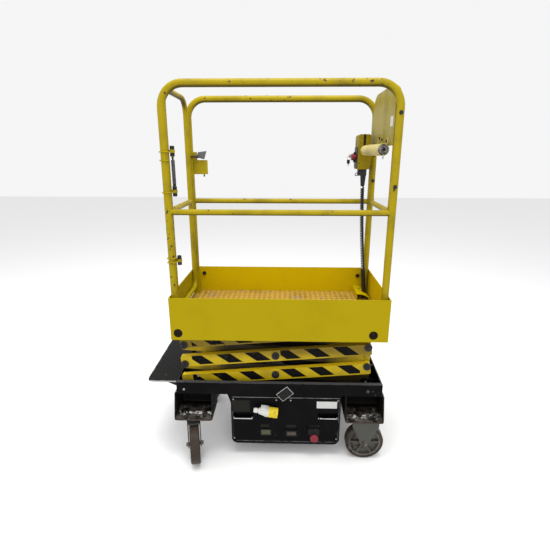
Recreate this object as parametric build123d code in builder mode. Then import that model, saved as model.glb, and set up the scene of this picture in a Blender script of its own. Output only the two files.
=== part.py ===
"""Push-around scissor lift: castor-mounted chassis, three-level scissor stack, guarded platform.

Millimetres, +Z up. X runs along the machine from the entry step to the control end,
-Y is the control-panel side. The origin is on the floor, in the middle of the machine's box.
"""
import os
from math import asin, atan2, cos, degrees, hypot, radians, sin, tan

from build123d import *

os.makedirs("parts", exist_ok=True)

# ---- driving dimensions -------------------------------------------------------------------
running_fit = 0.05          # radial clearance of a pin in its bore
seat_gap = 0.3              # gap between a roller and its track, or a soft seat
pin_side_gap = 4.0          # sideways gap between pieces that share a pin

# chassis
chassis_half = 528.0        # half length of the chassis frame
beam_y = 250.0              # outer face of the side beams
beam_bottom = 375.0
beam_top = 441.0
beam_wall = 6.0
beam_flange = 22.0
deck_thick = 5.0
step_reach = 680.0          # end of the entry step from the chassis centre
step_thick = 6.0
step_corner = 35.0
slot_half = 46.0            # half width of the deck slot that the cylinder works in
slot_left = -270.0          # closed end of that slot; it runs out at the control end
foot_lug_top = 404.0        # the cylinder's lugs stay under the arms' cross tube

# castors
wheel_r = 100.0
wheel_w = 50.0
castor_x = 455.0
castor_y = 230.0
castor_trail = 60.0
castor_plate_top = 243.0
castor_plate = (138.0, 110.0, 6.0)
castor_bolt = (105.0, 80.0, 5.5)     # spacing x, spacing y, hole radius
axle_r = 10.0
fork_wall = 5.0
fork_gap = 4.0              # between the wheel's side and a fork leg
bracket_x = 442.0           # middle of a castor bracket
bracket_half = 99.0
bracket_front = 292.0
bracket_back = 120.0
bracket_shelf = 8.0
bracket_wall = 6.0

# scissor stack
levels = 3
arm_length = 946.0          # pin to pin
level_rise = 107.0          # stowed height of one level
base_pin_z = 412.0
pivot_x = 452.0             # fixed pivots, from the chassis centre
arm_height = 60.0
arm_width = 28.0
arm_offset = 14.0           # end pins lie this far off the beam's centre line
arm_end = 18.0              # beam past its end pins
outer_arm_y = 200.0         # outer face of the outer arms
inner_arm_y = 166.0         # outer face of the inner arms
pin_r = 12.0
cap_r = 20.0
cap_thick = 6.0
boss_r = 20.0
outer_tube_at = 150.0       # cross tube of an outer pair, from its end pin
inner_tube_at = 75.0        # cross tube of an inner pair, from its end pin
cross_tube_r = 15.0
lug_thick = 8.0
lug_r = 22.0
roller_w = 24.0
base_roller_r = 25.0
lift_range = 40.0           # degrees that the lowest arms swing up

# lift cylinder
cylinder_foot = (430.0, 230.0)       # x, z of the foot pin
cylinder_reach = 600.0               # rod eye's cross tube, from the fixed pivot along the arm
barrel_r = 30.0
rod_r = 17.0
eye_pin_r = 12.0
eye_slack = 7.5             # free space round the eye's pin
eye_wall = 9.0
eye_half = 14.0
barrel_length = 440.0
foot_gap = 6.0

# platform
floor_top = 762.0
floor_thick = 3.0
tread_left, tread_right = -510.0, 430.0     # raised field of the floor's chequer plate
tread_rise = 1.0
platform_half = 523.75
platform_y = 287.7
board_thick = 3.0
board_bottom = 697.4
board_top = 912.4
access_hole_r = 20.0
channel_thick = 3.0
channel_end = -175.0        # inner end of the sliding channels
member_thick = 6.0

# guard rails
rail_r = 16.85
mid_rail_r = 13.45
hoop_x = 502.15
hoop_y = 246.0
hoop_top = 1845.7
hoop_bend = 95.0
mid_rail_z = 1311.0
gate_x = -506.0
gate_y = 205.0
gate_top = 1838.0
gate_bottom = 812.0
gate_bend = 80.0
gate_hinge = (-472.0, -228.0)
gate_plate_y = 217.0
gate_floor_gap = 10.0       # the gate's toe plate over the floor
foot_inwards = 24.0         # a post's foot plate, inwards from the post's centre
end_frame_y = 215.5
end_frame_bend = 40.0

# derived
mid_x = (step_reach - castor_x - wheel_r) / 2
stow_angle = degrees(asin(level_rise / arm_length))
arm_run = arm_length * cos(radians(stow_angle))
slide_x = pivot_x - arm_run
level_z = [base_pin_z + i * level_rise for i in range(levels + 1)]
raised_slide_x = pivot_x - arm_length * cos(radians(stow_angle + lift_range))
platform_lug_y = outer_arm_y + cap_thick + 3
deck_top = beam_bottom + deck_thick
track_top = base_pin_z - base_roller_r - seat_gap
floor_under = floor_top - floor_thick
top_roller_r = floor_under - channel_thick - seat_gap - level_z[levels]

# working planes through the chassis centre
plan = Plane(origin=(mid_x, 0, 0))
side = Plane(origin=(mid_x, 0, 0), x_dir=(1, 0, 0), z_dir=(0, -1, 0))
end = Plane(origin=(mid_x, 0, 0), x_dir=(0, 1, 0), z_dir=(1, 0, 0))


def save(part, name):
    """Label a finished piece and write it to its own file."""
    part.label = name
    export_step(part, f"parts/{name}.step")


def at(x, y, z):
    """A point given from the chassis centre."""
    return (mid_x + x, y, z)


# ---- chassis ------------------------------------------------------------------------------
with BuildPart() as chassis_frame:
    with BuildSketch(end.offset(-chassis_half)):
        with BuildLine():
            Polyline(
                (-beam_y, beam_bottom),
                (-beam_y, beam_top),
                (-beam_y + beam_flange, beam_top),
                (-beam_y + beam_flange, beam_top - beam_wall),
                (-beam_y + beam_wall, beam_top - beam_wall),
                (-beam_y + beam_wall, beam_bottom),
                close=True,
            )
        make_face()
        mirror(about=Plane.YZ)
    extrude(amount=2 * chassis_half)
    for face_x in (-chassis_half, chassis_half - beam_wall):
        with BuildSketch(end.offset(face_x)):
            with Locations((0, (beam_bottom + beam_top) / 2)):
                Rectangle(2 * (beam_y - beam_wall), beam_top - beam_bottom)
        extrude(amount=beam_wall)
    # fixed pivot lugs, one each side of each inner arm
    lug_faces = (
        inner_arm_y + pin_side_gap,
        inner_arm_y - arm_width - pin_side_gap - lug_thick,
    )
    for lug_face in lug_faces:
        with BuildSketch(side.offset(lug_face)):
            with BuildLine():
                Polyline(
                    (pivot_x - 2 * lug_r, deck_top),
                    (pivot_x - lug_r, base_pin_z),
                    (pivot_x + lug_r, base_pin_z),
                    (chassis_half - beam_wall, deck_top + lug_r),
                    (chassis_half - beam_wall, deck_top),
                    close=True,
                )
            make_face()
            with Locations((pivot_x, base_pin_z)):
                Circle(lug_r)
                Circle(pin_r + running_fit, mode=Mode.SUBTRACT)
        extrude(amount=lug_thick)
    # lugs of the cylinder's foot pin, hung from the frame's end
    with BuildSketch(side.offset(barrel_r + foot_gap)):
        with BuildLine():
            Polyline(
                (cylinder_foot[0] - 60, foot_lug_top),
                (cylinder_foot[0] - 60, beam_bottom - 30),
                (cylinder_foot[0] - lug_r - 6, cylinder_foot[1]),
                (cylinder_foot[0] + lug_r + 6, cylinder_foot[1]),
                (chassis_half - beam_wall, beam_bottom),
                (chassis_half - beam_wall, beam_top),
                (chassis_half - beam_wall - 34, beam_top),
                (chassis_half - beam_wall - 44, foot_lug_top),
                close=True,
            )
        make_face()
        with Locations(cylinder_foot):
            Circle(lug_r + 6)
            Circle(pin_r + running_fit, mode=Mode.SUBTRACT)
    extrude(amount=lug_thick)
    mirror(about=Plane.XZ)
save(chassis_frame.part, "chassis_frame")

with BuildPart() as chassis_deck:
    with BuildSketch(plan.offset(beam_bottom)):
        Rectangle(2 * (chassis_half - beam_wall), 2 * (beam_y - beam_wall))
        with Locations(((slot_left + chassis_half) / 2, 0)):
            Rectangle(chassis_half - slot_left, 2 * slot_half, mode=Mode.SUBTRACT)
    extrude(amount=deck_thick)
    track_start = slide_x - base_roller_r - 4
    track_stop = raised_slide_x + base_roller_r + 20
    track_y = inner_arm_y - arm_width / 2
    with BuildSketch(plan.offset(deck_top)):
        with Locations(((track_start + track_stop) / 2, track_y), ((track_start + track_stop) / 2, -track_y)):
            Rectangle(track_stop - track_start, arm_width + 6)
    extrude(amount=track_top - deck_top)
save(chassis_deck.part, "chassis_deck")

with BuildPart() as entry_step:
    step_length = step_reach - chassis_half
    with BuildSketch(plan.offset(beam_top)):
        with Locations((-chassis_half - step_length / 2, 0)):
            plate = Rectangle(step_length, 2 * beam_y)
        fillet(plate.vertices().group_by(Axis.X)[0], radius=step_corner)
    extrude(amount=step_thick)
    with BuildSketch(side.offset(-beam_y + 60)):
        with BuildLine():
            Polyline(
                (-chassis_half, beam_top),
                (-chassis_half, beam_bottom + 4),
                (-chassis_half - beam_wall, beam_bottom + 4),
                (-step_reach + 30, beam_top - 12),
                (-step_reach + 30, beam_top),
                close=True,
            )
        make_face()
    extrude(amount=beam_wall)
    mirror(about=Plane.XZ)
save(entry_step.part, "entry_step")

with BuildPart() as castor_brackets:
    shelf_top = castor_plate_top + bracket_shelf
    with BuildSketch(plan.offset(castor_plate_top)):
        with Locations((bracket_x, -(bracket_front + bracket_back) / 2)):
            shelf = Rectangle(2 * bracket_half, bracket_front - bracket_back)
        fillet(shelf.vertices().group_by(Axis.Y)[0], radius=14)
        with Locations((castor_x, -castor_y)):
            with GridLocations(castor_bolt[0], castor_bolt[1], 2, 2):
                Circle(castor_bolt[2], mode=Mode.SUBTRACT)
    extrude(amount=bracket_shelf)
    # side cheeks lean out towards the shelf's front edge
    for face_x in (bracket_x - bracket_half, bracket_x + bracket_half - bracket_wall):
        with BuildSketch(end.offset(face_x)):
            with BuildLine():
                Polyline(
                    (-bracket_front + 12, shelf_top),
                    (-beam_y + 1, beam_bottom),
                    (-bracket_back, beam_bottom),
                    (-bracket_back, shelf_top),
                    close=True,
                )
            make_face()
        extrude(amount=bracket_wall)
    with BuildSketch(plan.offset(shelf_top)):
        with Locations((bracket_x, -bracket_back - bracket_wall / 2)):
            Rectangle(2 * (bracket_half - bracket_wall), bracket_wall)
    extrude(amount=beam_bottom - shelf_top)
    mirror(about=Plane.XZ)
    mirror(about=end)
save(castor_brackets.part, "castor_brackets")

# ---- power box and ground controls --------------------------------------------------------
box_left, box_right = -250.0, 322.0
box_bottom = 75.0
box_front = 246.0
box_back = 74.0
box_corner = 32.0
panel_thick = 3.0
panel_inset = 8.0
stop_at = (188.0, 128.0)
stop_r = 22.0
gauge_at = (-67.0, 150.0)
meter_at = (68.0, 144.0)
plug_at = (-60.0, 293.0)
handles = ((-187.0, 247.0), (257.0, 254.0))
handle_size = (104.0, 34.0)

with BuildPart() as power_box:
    with BuildSketch(side.offset(box_back)):
        with Locations(((box_left + box_right) / 2, (box_bottom + beam_bottom) / 2)):
            outline = Rectangle(box_right - box_left, beam_bottom - box_bottom)
        fillet(outline.vertices().group_by(Axis.Y)[0], radius=box_corner)
    extrude(amount=box_front - box_back)
    with BuildSketch(side.offset(box_front)):
        for spot in handles:
            with Locations(spot):
                RectangleRounded(handle_size[0], handle_size[1], 6)
    extrude(amount=-22, mode=Mode.SUBTRACT)
    with BuildSketch(side.offset(box_back)):
        with BuildLine():
            Polyline(
                (box_left, beam_bottom),
                (box_left - 20, beam_bottom),
                (box_left, beam_bottom - 60),
                close=True,
            )
        make_face()
    extrude(amount=box_front - box_back - 8)
    mirror(about=Plane.XZ)
save(power_box.part, "power_box")

with BuildPart() as control_panel:
    with BuildSketch(side.offset(box_front)):
        with Locations(((box_left + box_right) / 2, (box_bottom + beam_bottom) / 2)):
            outline = Rectangle(
                box_right - box_left - 2 * panel_inset,
                beam_bottom - box_bottom - 2 * panel_inset - 16,
            )
        fillet(outline.vertices().group_by(Axis.Y)[0], radius=box_corner - panel_inset)
        for spot in handles:
            with Locations(spot):
                RectangleRounded(handle_size[0], handle_size[1], 6, mode=Mode.SUBTRACT)
    extrude(amount=panel_thick)
save(control_panel.part, "control_panel")
panel_face = box_front + panel_thick

with BuildPart() as panel_gauges:
    with BuildSketch(side.offset(panel_face)):
        with Locations(gauge_at):
            RectangleRounded(58, 40, 4)
        with Locations(meter_at):
            RectangleRounded(60, 36, 4)
    extrude(amount=4)
    with BuildSketch(side.offset(panel_face + 4)):
        with Locations(gauge_at):
            Rectangle(48, 28)
        with Locations(meter_at):
            Rectangle(46, 20)
    extrude(amount=-1.5, mode=Mode.SUBTRACT)
save(panel_gauges.part, "panel_gauges")

with BuildPart() as ground_stop_button:
    with BuildSketch(side.offset(panel_face)):
        with Locations(stop_at):
            Circle(15)
    extrude(amount=14)
    with BuildSketch(side.offset(panel_face + 14)):
        with Locations(stop_at):
            Circle(stop_r)
    extrude(amount=12)
    fillet(ground_stop_button.faces().sort_by(Axis.Y)[0].edges(), radius=5)
save(ground_stop_button.part, "ground_stop_button")

with BuildPart() as charger_plug:
    # industrial plug: knob, tapered body, collar; it lies along X on the panel's socket
    plug_axis = Plane(
        origin=at(plug_at[0] + 56, -panel_face - 26, plug_at[1]), x_dir=(0, 1, 0), z_dir=(-1, 0, 0)
    )
    with BuildSketch(plug_axis):
        Circle(26)
    extrude(amount=52)
    with BuildSketch(plug_axis.offset(52)):
        Circle(25)
    with BuildSketch(plug_axis.offset(100)):
        Circle(16)
    loft()
    with BuildSketch(plug_axis.offset(100)):
        Circle(11)
    extrude(amount=26)
    fillet(charger_plug.faces().sort_by(Axis.X)[0].edges(), radius=7)
    fillet(charger_plug.faces().sort_by(Axis.X)[-1].edges(), radius=3)
save(charger_plug.part, "charger_plug")

# ---- castors ------------------------------------------------------------------------------
steer_angle = degrees(atan2(castor_y, 2 * castor_x))
plate_under = castor_plate_top - castor_plate[2]
race_r = 38.0
race_top = 18.0
crown_thick = 6.0
crown_top = plate_under - race_top - seat_gap
leg_face = wheel_w / 2 + fork_gap
hub_r = 84.0
hub_face = 21.0


def wheel_parts(axle_at, heading):
    """A solid tyre and its ribbed hub, turned to a heading from -Y towards +X."""
    roll = Plane(
        origin=axle_at,
        x_dir=(sin(radians(heading)), -cos(radians(heading)), 0),
        z_dir=(cos(radians(heading)), sin(radians(heading)), 0),
    )
    with BuildPart() as tyre:
        with BuildSketch(roll.offset(-wheel_w / 2)):
            Circle(wheel_r)
            Circle(hub_r + running_fit, mode=Mode.SUBTRACT)
        extrude(amount=wheel_w)
        outer_edges = tyre.edges().filter_by(GeomType.CIRCLE).group_by(SortBy.RADIUS)[-1]
        fillet(outer_edges, radius=7)
    with BuildPart() as hub:
        with BuildSketch(roll.offset(-hub_face)):
            Circle(hub_r)
        extrude(amount=2 * hub_face)
        for face_at, inward in ((hub_face, -12), (-hub_face, 12)):
            with BuildSketch(roll.offset(face_at)):
                Circle(hub_r - 9)
                Circle(27, mode=Mode.SUBTRACT)
                with PolarLocations(0, 6):
                    with Locations((hub_r / 2, 0)):
                        Rectangle(hub_r, 9, mode=Mode.SUBTRACT)
            extrude(amount=inward, mode=Mode.SUBTRACT)
        with BuildSketch(roll.offset(-wheel_w / 2 - 1)):
            Circle(22)
        extrude(amount=wheel_w + 2)
        with BuildSketch(roll.offset(-wheel_w / 2 - 2)):
            Circle(axle_r + running_fit)
        extrude(amount=wheel_w + 4, mode=Mode.SUBTRACT)
    return tyre.part, hub.part


wheel_table = (
    # name, side of x, side of y, trail, heading in degrees from -Y
    ("left_near", -1, -1, castor_trail, steer_angle),
    ("left_far", -1, 1, castor_trail, 180 - steer_angle),
    ("right_near", 1, -1, 0.0, 90.0),
    ("right_far", 1, 1, 0.0, 90.0),
)
for wheel_name, side_x, side_y, trail, heading in wheel_table:
    axle_at = at(
        side_x * castor_x + trail * sin(radians(heading)),
        side_y * castor_y - trail * cos(radians(heading)),
        wheel_r,
    )
    tyre_part, hub_part = wheel_parts(axle_at, heading)
    save(tyre_part, f"tyre_{wheel_name}")
    save(hub_part, f"hub_{wheel_name}")

# fixed castors: a bent plate with wedge-shaped legs
with BuildPart() as fixed_castor_forks:
    with BuildSketch(plan.offset(plate_under)):
        with Locations((castor_x, -castor_y)):
            Rectangle(castor_plate[0], castor_plate[1])
            with GridLocations(castor_bolt[0], castor_bolt[1], 2, 2):
                Circle(castor_bolt[2], mode=Mode.SUBTRACT)
    extrude(amount=castor_plate[2])
    for leg_y in (castor_y + leg_face, castor_y - leg_face - fork_wall):
        with BuildSketch(side.offset(leg_y)):
            with BuildLine():
                Polyline(
                    (castor_x - 69, plate_under),
                    (castor_x - 69, plate_under - 34),
                    (castor_x - 16, wheel_r - 12),
                    (castor_x + 16, wheel_r - 12),
                    (castor_x + 69, plate_under - 34),
                    (castor_x + 69, plate_under),
                    close=True,
                )
            make_face()
            with Locations((castor_x, wheel_r)):
                Circle(18)
        extrude(amount=fork_wall)
    with BuildSketch(side.offset(castor_y - leg_face - fork_wall - 7)):
        with Locations((castor_x, wheel_r)):
            Circle(axle_r)
    extrude(amount=2 * (leg_face + fork_wall + 7))
    mirror(about=Plane.XZ)
save(fixed_castor_forks.part, "fixed_castor_forks")

with BuildPart() as swivel_castor_plates:
    with BuildSketch(plan.offset(plate_under)):
        with Locations((-castor_x, -castor_y)):
            Rectangle(castor_plate[0], castor_plate[1])
            with GridLocations(castor_bolt[0], castor_bolt[1], 2, 2):
                Circle(castor_bolt[2], mode=Mode.SUBTRACT)
    extrude(amount=castor_plate[2])
    with BuildSketch(plan.offset(plate_under - race_top)):
        with Locations((-castor_x, -castor_y)):
            Circle(race_r)
    extrude(amount=race_top)
    mirror(about=Plane.XZ)
save(swivel_castor_plates.part, "swivel_castor_plates")


def swivel_fork(swivel_at, heading):
    """Crown, two raked legs and the axle bolt of a swivel castor."""
    turned = Plane(
        origin=swivel_at,
        x_dir=(cos(radians(heading)), sin(radians(heading)), 0),
        z_dir=(0, 0, 1),
    )
    # in the turned plane local -Y is the way that the wheel trails
    flank = Plane(
        origin=swivel_at,
        x_dir=(sin(radians(heading)), -cos(radians(heading)), 0),
        z_dir=(-cos(radians(heading)), -sin(radians(heading)), 0),
    )
    with BuildPart() as fork:
        with BuildSketch(turned.offset(crown_top - crown_thick)):
            Circle(race_r + 4)
            with Locations((0, -castor_trail / 4)):
                Rectangle(2 * (leg_face + fork_wall), 84)
        extrude(amount=crown_thick)
        for leg in (leg_face, -leg_face - fork_wall):
            with BuildSketch(flank.offset(leg)):
                with BuildLine():
                    Polyline(
                        (-castor_trail / 4 - 16, crown_top),
                        (castor_trail - 20, wheel_r),
                        (castor_trail + 19, wheel_r),
                        (castor_trail / 4 + 42, crown_top - 22),
                        (castor_trail / 4 + 42, crown_top),
                        close=True,
                    )
                make_face()
                with Locations((castor_trail, wheel_r)):
                    Circle(20)
            extrude(amount=fork_wall)
        with BuildSketch(flank.offset(-leg_face - fork_wall - 7)):
            with Locations((castor_trail, wheel_r)):
                Circle(axle_r)
        extrude(amount=2 * (leg_face + fork_wall + 7))
    return fork.part


for fork_name, side_y, heading in (("near", -1, steer_angle), ("far", 1, 180 - steer_angle)):
    fork_part = swivel_fork(at(-castor_x, side_y * castor_y, 0), heading)
    save(fork_part, f"swivel_fork_{fork_name}")

# ---- scissor stack ------------------------------------------------------------------------
# an arm's own axes: x runs from its lower pin to its upper pin, y is square to that


def arm_plane(lower, towards):
    """Side plane with its origin at an arm's lower pin and x along the pin line."""
    lean = radians(stow_angle)
    along = Vector(towards * cos(lean), 0, sin(lean))
    normal = Vector(0, -1, 0) if towards > 0 else Vector(0, 1, 0)
    return Plane(origin=at(lower[0], 0, lower[1]), x_dir=along, z_dir=normal)


def beam_offset(distance):
    """Height of the beam's centre line over the pin line."""
    return arm_offset * (1 - 2 * distance / arm_length)


def arm_pair(lower, towards, outer_face, tube_at, extra_tube=None, pin_bore=pin_r):
    """Two box beams with end bosses and cross tubes, as one welded frame."""
    base = arm_plane(lower, towards)
    to_face = outer_face if towards > 0 else -outer_face
    inwards = -arm_width if towards > 0 else arm_width
    slope = degrees(atan2(-2 * arm_offset, arm_length))
    with BuildPart() as frame:
        with BuildSketch(base.offset(to_face)):
            with Locations(Location((arm_length / 2, 0), slope)):
                RectangleRounded(arm_length + 2 * arm_end, arm_height, 9)
            for pin_x in (0, arm_length):
                with Locations((pin_x, 0)):
                    Circle(boss_r)
            for pin_x in (0, arm_length / 2, arm_length):
                with Locations((pin_x, 0)):
                    Circle(pin_bore + running_fit, mode=Mode.SUBTRACT)
        extrude(amount=inwards)
        mirror(about=Plane.XZ)
        for spot in (tube_at, arm_length - tube_at):
            with BuildSketch(base.offset(-outer_face + arm_width)):
                with Locations((spot, beam_offset(spot))):
                    Circle(cross_tube_r)
            extrude(amount=2 * (outer_face - arm_width))
        if extra_tube:
            with BuildSketch(base.offset(-outer_face + arm_width)):
                with Locations((extra_tube, beam_offset(extra_tube))):
                    Circle(eye_pin_r)
            extrude(amount=2 * (outer_face - arm_width))
            for lug_y in (eye_half + 3, -eye_half - 3 - lug_thick):
                with BuildSketch(base.offset(lug_y)):
                    with Locations((extra_tube, beam_offset(extra_tube))):
                        Circle(eye_pin_r + 10)
                extrude(amount=lug_thick)
            for bar_y in (eye_half + 3 + lug_thick, -outer_face + arm_width):
                with BuildSketch(base.offset(bar_y)):
                    with Locations((extra_tube, beam_offset(extra_tube))):
                        Circle(eye_pin_r + 7)
                extrude(amount=outer_face - arm_width - eye_half - 3 - lug_thick)
    return frame.part


for level in range(1, levels + 1):
    low = level_z[level - 1]
    eye_tube = cylinder_reach if level == 1 else None
    inner_part = arm_pair((pivot_x, low), -1, inner_arm_y, inner_tube_at, eye_tube)
    save(inner_part, f"inner_arms_{level}")
    outer_part = arm_pair((slide_x, low), 1, outer_arm_y, outer_tube_at)
    save(outer_part, f"outer_arms_{level}")

# pins are carried by the outer arms, so a level's pins turn with its outer pair
pin_inner_end = inner_arm_y - arm_width - 3
centre_x = pivot_x - arm_run / 2
for level in range(1, levels + 1):
    low, high = level_z[level - 1], level_z[level]
    pin_spots = [(centre_x, (low + high) / 2), (pivot_x, high)]
    if level > 1:
        pin_spots.append((slide_x, low))
    # the platform's pivots run on through its outer lugs instead of ending in caps
    cap_spots = [spot for spot in pin_spots if spot != (pivot_x, level_z[levels])]
    with BuildPart() as pins:
        with BuildSketch(side.offset(pin_inner_end)):
            with Locations(*pin_spots):
                Circle(pin_r)
        extrude(amount=outer_arm_y - pin_inner_end)
        with BuildSketch(side.offset(outer_arm_y)):
            with Locations(*cap_spots):
                Circle(cap_r)
        extrude(amount=cap_thick)
        if level == levels:
            with BuildSketch(side.offset(outer_arm_y)):
                with Locations((pivot_x, high)):
                    Circle(pin_r)
            extrude(amount=platform_lug_y + lug_thick + 4 - outer_arm_y)
        mirror(about=Plane.XZ)
    save(pins.part, f"pivot_pins_{level}")

with BuildPart() as base_pivot_pins:
    with BuildSketch(side.offset(lug_faces[1] - 4)):
        with Locations((pivot_x, base_pin_z)):
            Circle(pin_r)
    extrude(amount=lug_faces[0] + lug_thick + 4 - lug_faces[1] + 4)
    mirror(about=Plane.XZ)
    with BuildSketch(side.offset(-barrel_r - foot_gap - lug_thick - 4)):
        with Locations(cylinder_foot):
            Circle(pin_r)
    extrude(amount=2 * (barrel_r + foot_gap + lug_thick + 4))
save(base_pivot_pins.part, "base_pivot_pins")

with BuildPart() as base_rollers:
    roller_face = inner_arm_y - (arm_width - roller_w) / 2
    with BuildSketch(side.offset(roller_face - roller_w)):
        with Locations((slide_x, base_pin_z)):
            Circle(base_roller_r)
    extrude(amount=roller_w)
    with BuildSketch(side.offset(roller_face)):
        with Locations((slide_x, base_pin_z)):
            Circle(pin_r)
    extrude(amount=outer_arm_y - roller_face)
    mirror(about=Plane.XZ)
save(base_rollers.part, "base_rollers")

with BuildPart() as platform_rollers:
    top_roller_face = outer_arm_y - (arm_width - roller_w) / 2
    with BuildSketch(side.offset(top_roller_face - roller_w)):
        with Locations((slide_x, level_z[levels])):
            Circle(top_roller_r)
    extrude(amount=roller_w)
    with BuildSketch(side.offset(inner_arm_y - arm_width)):
        with Locations((slide_x, level_z[levels])):
            Circle(pin_r)
    extrude(amount=top_roller_face - roller_w - inner_arm_y + arm_width)
    mirror(about=Plane.XZ)
save(platform_rollers.part, "platform_rollers")

# ---- lift cylinder ------------------------------------------------------------------------
eye_lean = radians(stow_angle) + atan2(beam_offset(cylinder_reach), cylinder_reach)
eye_radius = hypot(cylinder_reach, beam_offset(cylinder_reach))
eye_at = (pivot_x - eye_radius * cos(eye_lean), base_pin_z + eye_radius * sin(eye_lean))
stroke_run = hypot(eye_at[0] - cylinder_foot[0], eye_at[1] - cylinder_foot[1])
stroke_dir = Vector(
    (eye_at[0] - cylinder_foot[0]) / stroke_run, 0, (eye_at[1] - cylinder_foot[1]) / stroke_run
)
foot_plane = Plane(origin=at(cylinder_foot[0], 0, cylinder_foot[1]), x_dir=(0, 1, 0), z_dir=stroke_dir)

with BuildPart() as cylinder_barrel:
    with BuildSketch(foot_plane.offset(24)):
        Circle(barrel_r)
    extrude(amount=barrel_length - 24)
    with BuildSketch(foot_plane.offset(barrel_length - 34)):
        Circle(barrel_r + 4)
    extrude(amount=34)
    with BuildSketch(side.offset(-barrel_r)):
        with Locations(cylinder_foot):
            Circle(26)
    extrude(amount=2 * barrel_r)
    with BuildSketch(foot_plane):
        Circle(barrel_r - 4)
    extrude(amount=26)
    with BuildSketch(side.offset(-barrel_r - 1)):
        with Locations(cylinder_foot):
            Circle(pin_r + running_fit)
    extrude(amount=2 * barrel_r + 2, mode=Mode.SUBTRACT)
    with BuildSketch(foot_plane.offset(90)):
        Circle(rod_r + running_fit)
    extrude(amount=barrel_length, mode=Mode.SUBTRACT)
save(cylinder_barrel.part, "cylinder_barrel")

with BuildPart() as cylinder_rod:
    eye_bore = eye_pin_r + eye_slack
    with BuildSketch(foot_plane.offset(100)):
        Circle(rod_r)
    extrude(amount=stroke_run - 100 - eye_bore - 3)
    with BuildSketch(side.offset(-eye_half)):
        with Locations(eye_at):
            Circle(eye_bore + eye_wall)
    extrude(amount=2 * eye_half)
    with BuildSketch(side.offset(-eye_half - 6)):
        with Locations(eye_at):
            Circle(eye_bore)
    extrude(amount=2 * eye_half + 12, mode=Mode.SUBTRACT)
save(cylinder_rod.part, "cylinder_rod")

# ---- platform -----------------------------------------------------------------------------
with BuildPart() as platform_floor:
    with BuildSketch(plan.offset(floor_under)):
        Rectangle(2 * (platform_half - board_thick), 2 * (platform_y - board_thick))
    extrude(amount=floor_thick)
    # raised field of the chequer plate, clear of the posts' feet and the lead's guard
    with BuildSketch(plan.offset(floor_top)):
        with Locations(((tread_left + tread_right) / 2, 0)):
            Rectangle(tread_right - tread_left, 2 * (hoop_y - foot_inwards - 4))
    extrude(amount=tread_rise)
save(platform_floor.part, "platform_floor")

with BuildPart() as platform_underframe:
    channel_outer = outer_arm_y + 7
    channel_low = level_z[levels] - top_roller_r - 1.3 - channel_thick
    with BuildSketch(end.offset(slide_x - 26)):
        with BuildLine():
            Polyline(
                (-channel_outer, channel_low),
                (-channel_outer, floor_under),
                (-outer_arm_y + arm_width, floor_under),
                (-outer_arm_y + arm_width, floor_under - channel_thick),
                (-channel_outer + channel_thick, floor_under - channel_thick),
                (-channel_outer + channel_thick, channel_low + channel_thick),
                (-outer_arm_y + arm_width, channel_low + channel_thick),
                (-outer_arm_y + arm_width, channel_low),
                close=True,
            )
        make_face()
    extrude(amount=channel_end - slide_x + 26)
    # pivot lugs at the control end, one each side of each outer arm
    for lug_face in (platform_lug_y, outer_arm_y - arm_width - pin_side_gap - lug_thick):
        with BuildSketch(side.offset(lug_face)):
            with Locations((pivot_x, (level_z[levels] + floor_under) / 2)):
                Rectangle(2 * lug_r + 20, floor_under - level_z[levels])
            with Locations((pivot_x, level_z[levels])):
                Circle(lug_r)
                Circle(pin_r + running_fit, mode=Mode.SUBTRACT)
        extrude(amount=lug_thick)
    # cross members under the floor: place, depth
    member_table = (
        (centre_x, 38.0),
        (platform_half - board_thick - member_thick, 40.0),
        (-platform_half + board_thick, 40.0),
    )
    for member_x, depth in member_table:
        with BuildSketch(end.offset(member_x)):
            with Locations((0, floor_under - depth / 2)):
                Rectangle(2 * (platform_y - board_thick), depth)
        extrude(amount=member_thick)
    mirror(about=Plane.XZ)
save(platform_underframe.part, "platform_underframe")

with BuildPart() as toe_boards:
    for face_y in (platform_y - board_thick, -platform_y):
        with BuildSketch(side.offset(face_y)):
            with Locations((0, (board_bottom + board_top) / 2)):
                Rectangle(2 * platform_half, board_top - board_bottom)
            with Locations((pivot_x, level_z[levels]), (slide_x, level_z[levels])):
                Circle(access_hole_r, mode=Mode.SUBTRACT)
        extrude(amount=board_thick)
    # closed control end, and a skirt with corner returns at the entry end
    with BuildSketch(end.offset(platform_half - board_thick)):
        with Locations((0, (board_bottom + board_top) / 2)):
            Rectangle(2 * (platform_y - board_thick), board_top - board_bottom)
    extrude(amount=board_thick)
    with BuildSketch(end.offset(-platform_half)):
        with Locations((0, (board_bottom + board_top) / 2)):
            Rectangle(2 * (platform_y - board_thick), board_top - board_bottom)
        with Locations((0, (floor_top + board_top) / 2)):
            Rectangle(2 * (gate_plate_y + 8), board_top - floor_top, mode=Mode.SUBTRACT)
    extrude(amount=board_thick)
save(toe_boards.part, "toe_boards")

# ---- guard rails --------------------------------------------------------------------------


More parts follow.
